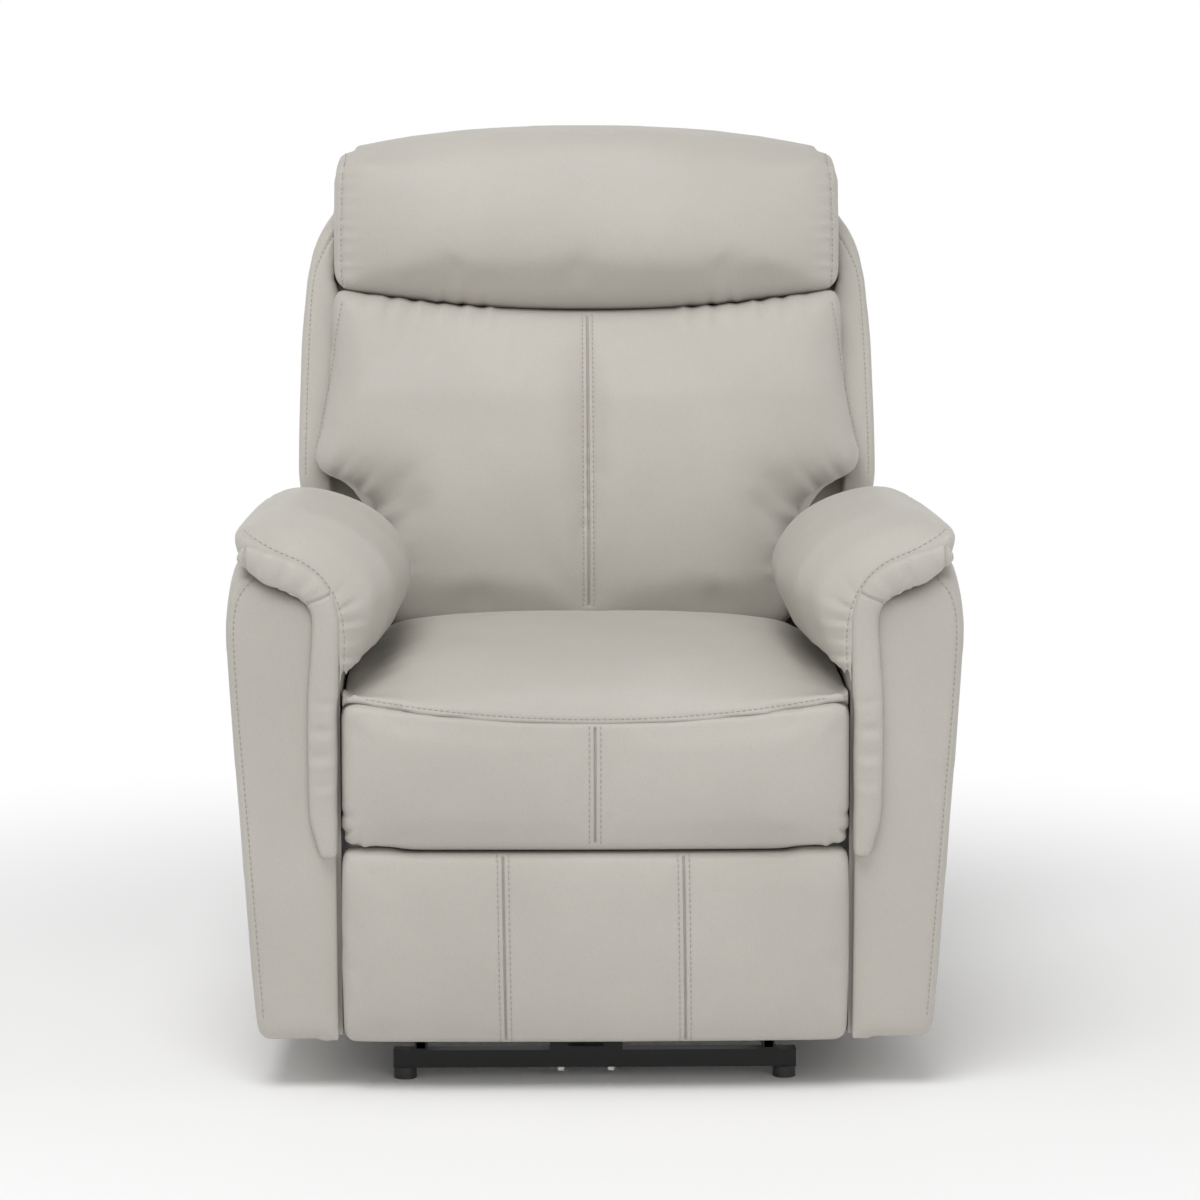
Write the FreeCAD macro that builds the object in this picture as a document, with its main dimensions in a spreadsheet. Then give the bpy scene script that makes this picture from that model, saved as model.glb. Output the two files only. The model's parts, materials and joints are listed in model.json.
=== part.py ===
import FreeCAD
import Part
import Sketcher
import math
import os
import re
from FreeCAD import Placement, Rotation, Vector

doc = FreeCAD.newDocument("recliner")

# Driving sizes in millimetres and degrees, measured from the chair's front and the floor
SIZES = {
    # whole chair
    "overall_width": 820,
    "overall_depth": 900,
    "overall_height": 1085,
    "seat_width": 566,
    "seat_height": 486,
    "arm_height": 628,
    "soft_gap": 1.5,
    # steel base
    "foot_high": 13,
    "foot_radius": 13,
    "bar_size": 20,
    "bar_wall": 2,
    "bar_overhang": 24,
    "base_front": 75,
    "rail_clear": 93,
    "rail_wide": 14,
    "rail_high": 30,
    "upright_wide": 40,
    "boss_half": 14,
    "boss_high": 18,
    "bracket_long": 44,
    "bracket_rise": 8,
    # flat steel links and pins
    "plate": 4,
    "link_gap": 2,
    "link_half": 10,
    "slim_half": 6.5,
    "pin_radius": 4,
    "pin_fit": 0.08,
    "head_radius": 7,
    "head_thick": 1.4,
    "head_gap": 0.2,
    "open_play": 0.3,
    # seat carriage
    "swing_length": 140,
    "swing_lean": 17,
    "swing_front": 260,
    "swing_top": 229,
    "plate_low": 203,
    "plate_high": 285,
    "tube_radius": 12,
    "front_tube_y": 150,
    "front_tube_z": 262,
    "rear_tube_z": 256,
    "tube_set": 110,
    "tube_margin": 6,
    "swing_set": 140,
    "bar_set": 50,
    "hinge_set": 25,
    "hinge_z": 300,
    "axle_radius": 6,
    "guide_length": 120,
    "guide_lean": 20,
    # footrest linkage
    "lift_y": 130,
    "lift_z": 216,
    "lift_cross": 90,
    "lift_length": 164,
    "lift_angle": 265,
    "cross_length": 135,
    "cross_angle": 97,
    "tail_length": 34,
    "tail_bend": 78.35,
    "tail_start": 7,
    "tail_play": 2.2,
    "control_y": 204.3,
    "control_z": 255.6,
    "control_length": 140.9,
    "control_angle": 250.58,
    "lever_length": 78,
    "lever_bend": 55.87,
    "drive_radius": 8,
    # footrest panel
    "pad_thick": 45,
    "pad_low": 55,
    "pad_top": 271,
    "board_thick": 18,
    # wooden seat frame and seat padding
    "board_high": 40,
    "board_wide": 20,
    "board_front": 100,
    "side_board_wide": 22,
    "strap_thick": 2.5,
    "strap_front": 150,
    "strap_share": 0.7,
    "roll_low": 276,
    "roll_deep": 100,
    "lip_deep": 56,
    # arms
    "arm_front": 20,
    "arm_low": 55,
    "arm_taper": 35,
    "arm_board": 18,
    "arm_drop": 83,
    "arm_lobe": 60,
    "arm_edge": 16,
    "arm_step": 27,
    "arm_tail": 90,
    "gusset_thick": 13,
    "guide_thick": 4.5,
    "guide_play": 0.6,
    # back
    "back_setback": 130.57,
    "back_lean": 16,
    "crown_over": 55,
    "seat_sink": 12,
    "lumbar_deep": 98,
    "bracket_set": 13,
    "stile_wide": 30,
    "panel_set": 21,
    "panel_thick": 24,
    "rail_deep": 45,
    "frame_thick": 30,
    "head_high": 223,
    "back_flare": 68,
    "head_flare": 42,
    "wing_thick": 22,
    # motor bracket and drives
    "drive_x": -10,
    "ear_half": 41,
    "ear_deep": 44,
    "ear_high": 62,
    "ear_pin_y": 28,
    "ear_pin_z": 38,
    "flange_wide": 21,
    "flange_thick": 3,
    "nut_high": 5,
    "motor_box": 54,
    "motor_gap": 3,
    "motor_can": 21,
    "motor_can_long": 62,
    "rail_rise": 31,
    "channel_half": 12,
    "channel_high": 22,
    "channel_wall": 3,
    "screw_radius": 5,
    "slider_half": 10,
    "slider_long": 44,
    "slider_clear": 0.4,
    "slider_rise": 75,
    "yoke_half": 18,
    "yoke_space": 14,
    "lift_drive_x": 110,
    "lift_motor_box": 52,
    "lift_motor_long": 60,
    "lift_can": 15,
    "lift_can_long": 120,
    # power inlet
    "inlet_x": 73,
    "inlet_wide": 26,
    "inlet_deep": 14,
    "socket_radius": 3,
    "socket_deep": 11,
    # switches
    "switch_y": 250,
    "switch_z": 395,
    "switch_thick": 8,
    "rocker_long": 26,
    "rocker_wide": 16,
    "rocker_gap": 0.6,
    "trunnion": 1.2,
}

# Places worked out from the driving sizes
LAYOUT = {
    "half_depth": "overall_depth / 2",
    "half_width": "overall_width / 2",
    "arm_inner": "seat_width / 2",
    "seat_half": "arm_inner - soft_gap",
    "frame_top": "overall_height - crown_over",
    "back_datum": "seat_height - seat_sink",
    "lean_slope": "tan(back_lean)",
    "back_foot": "overall_depth - back_setback - (frame_top - back_datum) * lean_slope",
    "cushion_rear": "back_foot - lumbar_deep",
    "hinge_y": "back_foot - hinge_set",
    "rear_tube_y": "back_foot - tube_set",
    "swing_rear": "back_foot - swing_set",
    "rear_bar_y": "back_foot - bar_set",
    "arm_rear": "back_foot + arm_tail",
    "arm_top": "arm_height - arm_drop",
    "arm_rear_top": "arm_top - arm_step",
    "arm_foot_half": "half_width - arm_taper",
    "arm_slope": "atan(arm_taper / (arm_top - arm_edge - arm_low))",
    "crease_z": "overall_height - head_high",
    "head_low": "crease_z + 4",
    "back_half": "arm_inner + back_flare",
    "head_half": "arm_inner + head_flare",
    "bar_top": "foot_high + bar_size",
    "rail_inset": "arm_inner - rail_clear",
    "upright_x": "rail_inset + rail_wide",
    "base_half": "upright_x + bar_overhang",
    "layer": "plate + link_gap",
    "swing_x": "upright_x + layer",
    "seat_x": "swing_x + layer",
    "lift_x": "seat_x + layer",
    "cross_x": "lift_x + layer",
    "control_x": "cross_x + layer",
    "swing_base": "swing_top - swing_length * cos(swing_lean)",
    "swing_reach": "swing_length * sin(swing_lean)",
    "cross_y": "lift_y + lift_cross * cos(lift_angle)",
    "cross_z": "lift_z + lift_cross * sin(lift_angle)",
    "toe_y": "lift_y + lift_length * cos(lift_angle)",
    "toe_z": "lift_z + lift_length * sin(lift_angle)",
    "upper_y": "cross_y + cross_length * cos(cross_angle)",
    "upper_z": "cross_z + cross_length * sin(cross_angle)",
    "lower_y": "toe_y + cross_length * cos(cross_angle)",
    "lower_z": "toe_z + cross_length * sin(cross_angle)",
    "tail_angle": "cross_angle + 180 + tail_bend",
    "tail_y": "cross_y + tail_length * cos(tail_angle)",
    "tail_z": "cross_z + tail_length * sin(tail_angle)",
    "reach_y": "control_y + control_length * cos(control_angle)",
    "reach_z": "control_z + control_length * sin(control_angle)",
    "lever_angle": "control_angle + lever_bend",
    "drive_y": "control_y + lever_length * cos(lever_angle)",
    "drive_z": "control_z + lever_length * sin(lever_angle)",
    "drive_dip": "lever_length * (1 + sin(lever_angle))",
    "guide_y": "hinge_y - guide_length * sin(guide_lean)",
    "guide_z": "hinge_z + guide_length * cos(guide_lean)",
    "bracket_x": "arm_inner - bracket_set",
    "stile_x": "bracket_x - stile_wide",
    "narrow_half": "arm_inner - panel_set",
    "slider_z": "bar_top + slider_rise",
    "board_top": "plate_high + board_high",
    "cushion_low": "board_top + strap_thick",
    "roll_top": "seat_height - lip_deep",
    "tube_hold": "tube_radius + tube_margin",
    "rail_low": "rear_tube_z - rail_rise",
    "motor_half": "ear_half - plate - motor_gap",
    "inlet_rear": "rear_bar_y + bar_size + inlet_deep",
}

dims = doc.addObject("Spreadsheet::Sheet", "Dims")
for row, (alias, size) in enumerate(SIZES.items(), 1):
    dims.set(f"A{row}", alias.replace("_", " "))
    dims.set(f"B{row}", str(size))
    dims.setAlias(f"B{row}", alias)
layout = doc.addObject("Spreadsheet::Sheet", "Layout")


def link(text, inside=False):
    def swap(match):
        word = match.group(0)
        if word in SIZES:
            return "Dims." + word
        if word in LAYOUT and not inside:
            return "Layout." + word
        return word
    return re.sub(r"[a-z][a-z_]*", swap, text)


for row, (alias, formula) in enumerate(LAYOUT.items(), 1):
    layout.set(f"A{row}", alias.replace("_", " "))
    layout.setAlias(f"B{row}", alias)
    layout.set(f"B{row}", "=" + link(formula, inside=True))
doc.recompute()


def number(text):
    result = dims.evalExpression(link(str(text)))
    return float(getattr(result, "Value", result))


def bind(thing, prop, text):
    thing.setExpression(prop, link(str(text)))


# Distance behind the chair's front as a place in the frame
def deep(text):
    return f"({text}) - half_depth"


# Front face of the back frame at one height
def back_line(height):
    return f"back_foot + (({height}) - back_datum) * lean_slope"


nodes = []


def node(thing, label):
    thing.Label = label
    nodes.append(thing)
    return thing


# Solids from plain primitives
def block(label, x, y, z):
    thing = doc.addObject("Part::Box", label)
    for prop, axis, (low, high) in (("Length", "x", x), ("Width", "y", y), ("Height", "z", z)):
        bind(thing, prop, f"({high}) - ({low})")
        bind(thing, "Placement.Base." + axis, deep(low) if axis == "y" else low)
    return thing


TURNS = {
    "x": Rotation(Vector(0, 1, 0), 90),
    "y": Rotation(Vector(1, 0, 0), -90),
    "z": Rotation(),
}


def round_bar(label, axis, x, y, z, radius, length):
    thing = doc.addObject("Part::Cylinder", label)
    thing.Placement = Placement(Vector(), TURNS[axis])
    bind(thing, "Radius", radius)
    bind(thing, "Height", length)
    for name, text in (("x", x), ("y", deep(y)), ("z", z)):
        bind(thing, "Placement.Base." + name, text)
    return thing


def fuse(label, shapes):
    thing = doc.addObject("Part::MultiFuse", label)
    thing.Shapes = shapes
    return thing


def cut(label, base, tools):
    thing = doc.addObject("Part::Cut", label)
    thing.Base = base
    thing.Tool = tools[0] if len(tools) == 1 else fuse(label + "_tools", tools)
    return thing


def mirror(label, source):
    thing = doc.addObject("Part::Mirroring", label)
    thing.Source = source
    thing.Normal = Vector(1, 0, 0)
    return thing


def join(label, members):
    thing = doc.addObject("Part::Compound", label)
    thing.Links = members
    return thing


def group(label, members):
    return node(join(label, members), label)


def both_sides(label, source):
    return group(label, [source, mirror(label + "_mirror", source)])


def left_and_right(label, source):
    node(source, label + "_right")
    return node(mirror(label + "_left", source), label + "_left")


# A closed outline whose corners and bulges follow the sheet
def outline(sketch, corners, bulges=None):
    count = len(corners)
    bulges = bulges or [None] * count
    points = [Vector(number(a), number(b), 0) for a, b in corners]
    first = sketch.GeometryCount
    ends = []
    for i in range(count):
        start, end = points[i], points[(i + 1) % count]
        if bulges[i] is None:
            sketch.addGeometry(Part.LineSegment(start, end))
        else:
            span = end - start
            away = Vector(span.y, -span.x, 0).normalize()
            sketch.addGeometry(Part.Arc(start, (start + end) * 0.5 + away * number(bulges[i]), end))
        drawn = sketch.Geometry[first + i]
        ends.append((1, 2) if (drawn.StartPoint - start).Length < 1e-6 else (2, 1))
    for i in range(count):
        after = (i + 1) % count
        sketch.addConstraint(
            Sketcher.Constraint("Coincident", first + i, ends[i][1], first + after, ends[after][0]))
    for i, (a, b) in enumerate(corners):
        for kind, text, place in (("DistanceX", a, points[i].x), ("DistanceY", b, points[i].y)):
            index = sketch.addConstraint(
                Sketcher.Constraint(kind, -1, 1, first + i, ends[i][0], place))
            bind(sketch, f"Constraints[{index}]", text)
        if bulges[i] is not None:
            c, d = corners[(i + 1) % count]
            chord = f"((({c}) - ({a}))^2 + (({d}) - ({b}))^2)"
            index = sketch.addConstraint(
                Sketcher.Constraint("Radius", first + i, sketch.Geometry[first + i].Radius))
            bind(sketch, f"Constraints[{index}]", f"{chord} / (8 * ({bulges[i]})) + ({bulges[i]}) / 2")


def ring(sketch, a, b, radius):
    index = sketch.addGeometry(
        Part.Circle(Vector(number(a), number(b), 0), Vector(0, 0, 1), number(radius)))
    for kind, text in (("DistanceX", a), ("DistanceY", b)):
        spot = sketch.addConstraint(Sketcher.Constraint(kind, -1, 1, index, 3, number(text)))
        bind(sketch, f"Constraints[{spot}]", text)
    spot = sketch.addConstraint(Sketcher.Constraint("Radius", index, number(radius)))
    bind(sketch, f"Constraints[{spot}]", radius)


# Flat and padded pieces: one drawn outline, padded, with its edges rounded where asked
def sheet_piece(label, plane, at, thick, corners, holes=(), bulges=None, rounding=None, slots=()):
    body = doc.addObject("PartDesign::Body", label)
    sketch = body.newObject("Sketcher::SketchObject", label + "_outline")
    support = [f for f in body.Origin.OriginFeatures if f.Role == plane + "_Plane"][0]
    sketch.AttachmentSupport = [(support, "")]
    sketch.MapMode = "FlatFace"
    bind(sketch, "AttachmentOffset.Base.z", f"-({deep(at)})" if plane == "XZ" else at)
    outline(sketch, corners, bulges)
    for a, b, radius in holes:
        ring(sketch, a, b, radius)
    for slot in slots:
        outline(sketch, slot)
    pad = body.newObject("PartDesign::Pad", label + "_pad")
    pad.Profile = sketch
    pad.Reversed = plane == "XZ"
    bind(pad, "Length", thick)
    if rounding:
        doc.recompute()
        fillet = body.newObject("PartDesign::Fillet", label + "_rounding")
        fillet.Base = (pad, ["Edge1"])
        fillet.UseAllEdges = True
        bind(fillet, "Radius", rounding)
        body.Tip = fillet
    return body


def side_corners(places):
    return [(deep(y), z) for y, z in places]


def side_plate(label, at, places, holes=(), slots=(), thick="plate", bulges=None, rounding=None):
    rings = [(deep(y), z, radius) for y, z, radius in holes]
    return sheet_piece(label, "YZ", at, thick, side_corners(places), rings, bulges, rounding,
                       [side_corners(slot) for slot in slots])


# A slot or opening around one point
def window(y, z, half, below, above):
    return [(f"{y} - ({half})", f"{z} - ({below})"), (f"{y} + ({half})", f"{z} - ({below})"),
            (f"{y} + ({half})", f"{z} + ({above})"), (f"{y} - ({half})", f"{z} + ({above})")]


# A flat link: a strip with rounded ends between two pivots
def strip(y, z, angle, length, half):
    corners = []
    for along, across in ((-0.5, -1), (1, -1), (1, 1), (-0.5, 1)):
        run = f"(({length}) + 0.5 * ({half}))" if along == 1 else f"(-0.5 * ({half}))"
        corners.append((f"{y} + {run} * cos({angle}) - ({across}) * ({half}) * sin({angle})",
                        f"{z} + {run} * sin({angle}) + ({across}) * ({half}) * cos({angle})"))
    return corners


def flat_link(label, at, y, z, angle, length, half, holes):
    crown = f"0.8 * ({half})"
    return side_plate(label, at, strip(y, z, angle, length, half), holes,
                      bulges=[None, crown, None, crown])


RUNNING = "pin_radius + pin_fit"


# A stud with its head past the far end, or before the near end where inward is 1
def stud(label, y, z, start, end, inward):
    head_at = f"({start}) - head_thick" if inward else end
    shank = round_bar(label + "_shank", "x", start, y, z, "pin_radius", f"({end}) - ({start})")
    head = round_bar(label + "_head", "x", head_at, y, z, "head_radius", "head_thick")
    return fuse(label, [shank, head])


# Soft pieces: cross sections along the chair's width, crowned and drawn in toward both sides
STATIONS = (0, 0.5, 0.8, 0.94, 1)


def fall(share):
    return round(1 - math.sqrt(1 - share ** 4), 4)


def soft(label, planes, at_axis, sections):
    sketches = []
    for i, (at, corners, bulges) in enumerate(sections):
        sketch = doc.addObject("Sketcher::SketchObject", f"{label}_section_{i}")
        sketch.Placement = Placement(Vector(), planes)
        bind(sketch, "Placement.Base." + at_axis, at)
        outline(sketch, corners, bulges)
        sketches.append(sketch)
    thing = doc.addObject("Part::Loft", label)
    thing.Sections = sketches
    thing.Solid = True
    thing.Ruled = True
    return thing


UPWARD = Rotation()
SIDEWAYS = Rotation(Vector(1, 1, 1), 120)
FACING = Rotation(Vector(1, 0, 0), 90)


def cushion(label, half, profile):
    shares = [-s for s in reversed(STATIONS[1:])] + list(STATIONS)
    sections = []
    for share in shares:
        places, bulges = profile(fall(abs(share)))
        sections.append((f"({half}) * {share}", side_corners(places), bulges))
    return soft(label, SIDEWAYS, "x", sections)


# Steel base
def crossbar(label, y, bolts=()):
    outer = block(label + "_outer", ("-base_half", "base_half"), (y, f"{y} + bar_size"),
                  ("foot_high", "bar_top"))
    inner = block(label + "_inner", ("-base_half - 1", "base_half + 1"),
                  (f"{y} + bar_wall", f"{y} + bar_size - bar_wall"),
                  ("foot_high + bar_wall", "bar_top - bar_wall"))
    holes = [round_bar(f"{label}_hole_{i}", "z", x, f"{y} + bar_size / 2", "foot_high - 1",
                       RUNNING, "bar_size + 2") for i, x in enumerate(bolts)]
    return node(cut(label, outer, [inner] + holes), label)


BOLT_XS = ("drive_x - ear_half + plate + head_radius + 1.5", "drive_x + ear_half - plate - head_radius - 1.5")
SWING_YS = ("swing_front", "swing_rear")
crossbar("base_front_crossbar", "base_front", BOLT_XS)
crossbar("base_rear_crossbar", "rear_bar_y")

rail_outer = block("rail_outer", ("rail_inset", "upright_x"), ("base_front", "rear_bar_y + bar_size"),
                   ("bar_top", "bar_top + rail_high"))
rail_inner = block("rail_inner", ("rail_inset + bar_wall", "upright_x - bar_wall"),
                   ("base_front - 1", "rear_bar_y + bar_size + 1"),
                   ("bar_top + bar_wall", "bar_top + rail_high - bar_wall"))
rail_tube = cut("rail_tube", rail_outer, [rail_inner])
uprights = [
    side_plate(f"upright_{i}", "upright_x",
               [(f"{y} - upright_wide / 2", "bar_top"), (f"{y} + upright_wide / 2", "bar_top"),
                (f"{y} + boss_half", "swing_base + boss_high"), (f"{y} - boss_half", "swing_base + boss_high")],
               [(y, "swing_base", "pin_radius")])
    for i, y in enumerate(SWING_YS)]
both_sides("base_side_rails", fuse("base_side_rail", [rail_tube] + uprights))
both_sides("base_pivot_studs", join("base_stud_half", [
    stud(f"base_stud_{i}", y, "swing_base", "upright_x", "swing_x + plate + head_gap", 0)
    for i, y in enumerate(SWING_YS)]))
group("base_feet", [
    round_bar(f"foot_{i}", "z", f"{side} * (base_half - foot_radius)", f"{y} + bar_size / 2", "0",
              "foot_radius", "foot_high")
    for i, (side, y) in enumerate(((-1, "base_front"), (1, "base_front"),
                                   (-1, "rear_bar_y"), (1, "rear_bar_y")))])

# Bracket and drive that move the seat and back
EAR_Y = "base_front + ear_pin_y"
EAR_Z = "bar_top + ear_pin_z"
EAR_REAR = "base_front + ear_deep"
EAR_TOP = "bar_top + ear_high"
EAR_XS = ("drive_x - ear_half", "drive_x + ear_half")
ears = [
    side_plate(f"motor_ear_{i}", x,
               [("base_front", "bar_top"), (EAR_REAR, "bar_top"), (EAR_REAR, EAR_TOP + " - 12"),
                ("base_front + 12", EAR_TOP), ("base_front", EAR_TOP)], [(EAR_Y, EAR_Z, "pin_radius")])
    for i, x in enumerate((EAR_XS[0], EAR_XS[1] + " - plate"))]
bracket_foot = block("motor_bracket_foot", EAR_XS,
                     ("base_front", "base_front + bar_size"), ("bar_top", "bar_top + plate"))
flanges = [
    block(f"motor_flange_{i}", x, ("base_front", "base_front + flange_thick"), ("bar_top + plate", EAR_TOP))
    for i, x in enumerate(((EAR_XS[0], EAR_XS[0] + " + flange_wide"),
                           (EAR_XS[1] + " - flange_wide", EAR_XS[1])))]
bracket_holes = [round_bar(f"bracket_hole_{i}", "z", x, "base_front + bar_size / 2", "bar_top - 1",
                           RUNNING, "plate + 2") for i, x in enumerate(BOLT_XS)]
node(cut("motor_bracket", fuse("motor_bracket_body", ears + [bracket_foot] + flanges), bracket_holes),
     "motor_bracket")


def hexagon(label, x, low):
    thing = doc.addObject("Part::Prism", label)
    thing.Polygon = 6
    bind(thing, "Circumradius", "head_radius")
    bind(thing, "Height", "nut_high")
    bind(thing, "Placement.Base.x", x)
    bind(thing, "Placement.Base.y", deep("base_front + bar_size / 2"))
    bind(thing, "Placement.Base.z", low)
    return thing


group("motor_bracket_bolts", [
    fuse(f"bracket_bolt_{i}", [
        round_bar(f"bolt_shank_{i}", "z", x, "base_front + bar_size / 2", "foot_high - nut_high", "pin_radius",
                  "bar_size + plate + nut_high"),
        hexagon(f"bolt_nut_{i}", x, "foot_high - nut_high"), hexagon(f"bolt_cap_{i}", x, "bar_top + plate")])
    for i, x in enumerate(BOLT_XS)])
MOTOR_FRONT = "base_front + 16"
MOTOR_REAR = "base_front + 16 + motor_box"
MOTOR_LOW = "bar_top + 12"
MOTOR_TOP = "bar_top + 12 + motor_box"
motor_case = side_plate("recline_motor_case", "drive_x - motor_half",
                        [(MOTOR_FRONT, MOTOR_LOW), (MOTOR_REAR, MOTOR_LOW),
                         (MOTOR_REAR, MOTOR_TOP), (MOTOR_FRONT, MOTOR_TOP)],
                        thick="2 * motor_half", rounding="6")
motor_can = round_bar("recline_motor_can", "z", "drive_x", f"{MOTOR_FRONT} + motor_box / 2",
                      f"{MOTOR_TOP} - 6", "motor_can", "motor_can_long")
motor_bore = round_bar("recline_motor_bore", "x", EAR_XS[0], EAR_Y, EAR_Z, "pin_radius", "2 * ear_half")
node(cut("recline_motor", fuse("recline_motor_body", [motor_case, motor_can]), [motor_bore]),
     "recline_motor")
node(round_bar("recline_motor_pin", "x", f"{EAR_XS[0]} - 3", EAR_Y, EAR_Z, "pin_radius", "2 * ear_half + 6"),
     "recline_motor_pin")


# A drive rail with its screw
def channel(label, x, y, low):
    outer = block(label + "_outer", (f"{x} - channel_half", f"{x} + channel_half"), y,
                  (low, f"{low} + channel_high"))
    inner = block(label + "_inner",
                  (f"{x} - channel_half + channel_wall", f"{x} + channel_half - channel_wall"),
                  (f"{y[0]} - 1", f"{y[1]} + 1"), (f"{low} + channel_wall", f"{low} + channel_high + 1"))
    return node(cut(label, outer, [inner]), label)


BASE_RAIL_LOW = "bar_top + rail_rise"
BASE_RAIL_TOP = "bar_top + rail_rise + channel_high"
channel("recline_rail", "drive_x", (MOTOR_REAR, "rear_bar_y"), BASE_RAIL_LOW)
node(round_bar("recline_screw", "y", "drive_x", MOTOR_REAR, f"{BASE_RAIL_LOW} + channel_half", "screw_radius",
               f"rear_bar_y - ({MOTOR_REAR})"), "recline_screw")
node(block("recline_rail_clip", ("drive_x - channel_half - 4", "drive_x + channel_half + 4"),
           ("rear_bar_y", "rear_bar_y + bar_size"), ("bar_top", BASE_RAIL_TOP)), "recline_rail_clip")
slider_body = block("recline_slider_block", ("drive_x - slider_half", "drive_x + slider_half"),
                    ("rear_tube_y - slider_long / 2", "rear_tube_y + slider_long / 2"),
                    (f"{BASE_RAIL_TOP} + slider_clear", "slider_z + slider_half + 2"))
slider_pin = round_bar("recline_slider_pin", "x", "drive_x - yoke_space - plate - 2", "rear_tube_y", "slider_z",
                       "pin_radius", "2 * (yoke_space + plate + 2)")
node(fuse("recline_slider", [slider_body, slider_pin]), "recline_slider")

# Power inlet on the rear crossbar
inlet_case = block("power_inlet_case", ("inlet_x - inlet_wide / 2", "inlet_x + inlet_wide / 2"),
                   ("rear_bar_y + bar_size", "inlet_rear"),
                   ("foot_high + bar_wall", "bar_top - bar_wall"))
inlet_bore = round_bar("power_inlet_bore", "y", "inlet_x", "inlet_rear - socket_deep",
                       "foot_high + bar_size / 2", "socket_radius", "socket_deep + 1")
node(cut("power_inlet", inlet_case, [inlet_bore]), "power_inlet")

# Swing links that carry the seat forward
for name, y in (("front", "swing_front"), ("rear", "swing_rear")):
    both_sides(f"{name}_swing_links", flat_link(
        f"{name}_swing_link", "swing_x", y, "swing_base", "90 - swing_lean", "swing_length", "link_half",
        [(y, "swing_base", RUNNING), (f"{y} + swing_reach", "swing_top", RUNNING)]))

# Seat carriage
SWING_TOPS = [f"{y} + swing_reach" for y in SWING_YS]
SEAT_PINS = [(y, "swing_top") for y in SWING_TOPS] + [("lift_y", "lift_z"), ("control_y", "control_z")]
both_sides("seat_side_plates", side_plate(
    "seat_side_plate", "seat_x",
    [("lift_y - 18", "plate_low"), ("hinge_y - 22", "plate_low"), ("hinge_y + 20", "hinge_z - 40"),
     ("hinge_y + 20", "hinge_z + 18"), ("hinge_y - 20", "hinge_z + 18"),
     ("hinge_y - 46", "plate_high"), ("lift_y - 18", "plate_high")],
    [(y, z, "pin_radius") for y, z in SEAT_PINS] + [("hinge_y", "hinge_z", "axle_radius")]))
swing_studs = [
    stud(f"swing_stud_{i}", y, "swing_top", "swing_x - head_gap", "seat_x + plate", 1)
    for i, y in enumerate(SWING_TOPS)]
link_studs = [
    stud(f"{name}_stud", f"{name}_y", f"{name}_z", "seat_x", f"{name}_x + plate + head_gap", 0)
    for name in ("lift", "control")]
both_sides("seat_pivot_studs", join("seat_stud_half", swing_studs + link_studs))
group("seat_cross_tubes", [
    round_bar(f"cross_tube_{i}", "x", "-seat_x", y, z, "tube_radius", "2 * seat_x")
    for i, (y, z) in enumerate((("front_tube_y", "front_tube_z"), ("rear_tube_y", "rear_tube_z")))])
node(round_bar("back_pivot_axle", "x", "-bracket_x - plate - 1", "hinge_y", "hinge_z", "axle_radius",
               "2 * (bracket_x + plate + 1)"), "back_pivot_axle")
group("recline_yoke", [
    side_plate(f"yoke_{i}", x,
               [("rear_tube_y - yoke_half", "slider_z - yoke_half"),
                ("rear_tube_y + yoke_half", "slider_z - yoke_half"),
                ("rear_tube_y + yoke_half", "rear_tube_z + tube_hold"),
                ("rear_tube_y - yoke_half", "rear_tube_z + tube_hold")],
               [("rear_tube_y", "rear_tube_z", "tube_radius")],
               [window("rear_tube_y", "slider_z", "pin_radius + guide_play", "yoke_half - 5",
                       "pin_radius + 2")])
    for i, x in enumerate(("drive_x - yoke_space - plate", "drive_x + yoke_space"))])

# Drive that lifts the footrest
LIFT_RAIL_FRONT = "front_tube_y - tube_hold"
LIFT_MOTOR_REAR = "rear_tube_y - tube_radius - 4"
LIFT_MOTOR_FRONT = "rear_tube_y - tube_radius - 4 - lift_motor_long"
LIFT_MOTOR_TOP = "rear_tube_z + 2"
LIFT_MOTOR_LOW = "rear_tube_z + 2 - lift_motor_box"
channel("footrest_rail", "lift_drive_x", (LIFT_RAIL_FRONT, LIFT_MOTOR_FRONT), "rail_low")
node(round_bar("footrest_screw", "y", "lift_drive_x", LIFT_RAIL_FRONT, "rail_low + channel_half",
               "screw_radius", f"({LIFT_MOTOR_FRONT}) - ({LIFT_RAIL_FRONT})"), "footrest_screw")
lift_case = side_plate("footrest_motor_case", "lift_drive_x - lift_motor_box / 2",
                       [(LIFT_MOTOR_FRONT, LIFT_MOTOR_LOW), (LIFT_MOTOR_REAR, LIFT_MOTOR_LOW),
                        (LIFT_MOTOR_REAR, LIFT_MOTOR_TOP), (LIFT_MOTOR_FRONT, LIFT_MOTOR_TOP)],
                       thick="lift_motor_box", rounding="5")
lift_lug = round_bar("footrest_motor_lug", "x", "lift_drive_x - 8", "rear_tube_y", "rear_tube_z",
                     "tube_hold + 1", "16")
lift_can = round_bar("footrest_motor_can", "y", "lift_drive_x", f"{LIFT_MOTOR_REAR} - 4 - lift_can_long",
                     f"{LIFT_MOTOR_LOW} - lift_can + 1", "lift_can", "lift_can_long")
lift_bore = round_bar("footrest_motor_bore", "x", "lift_drive_x - 30", "rear_tube_y", "rear_tube_z",
                      "tube_radius", "60")
node(cut("footrest_motor", fuse("footrest_motor_body", [lift_case, lift_lug, lift_can]), [lift_bore]),
     "footrest_motor")
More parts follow.
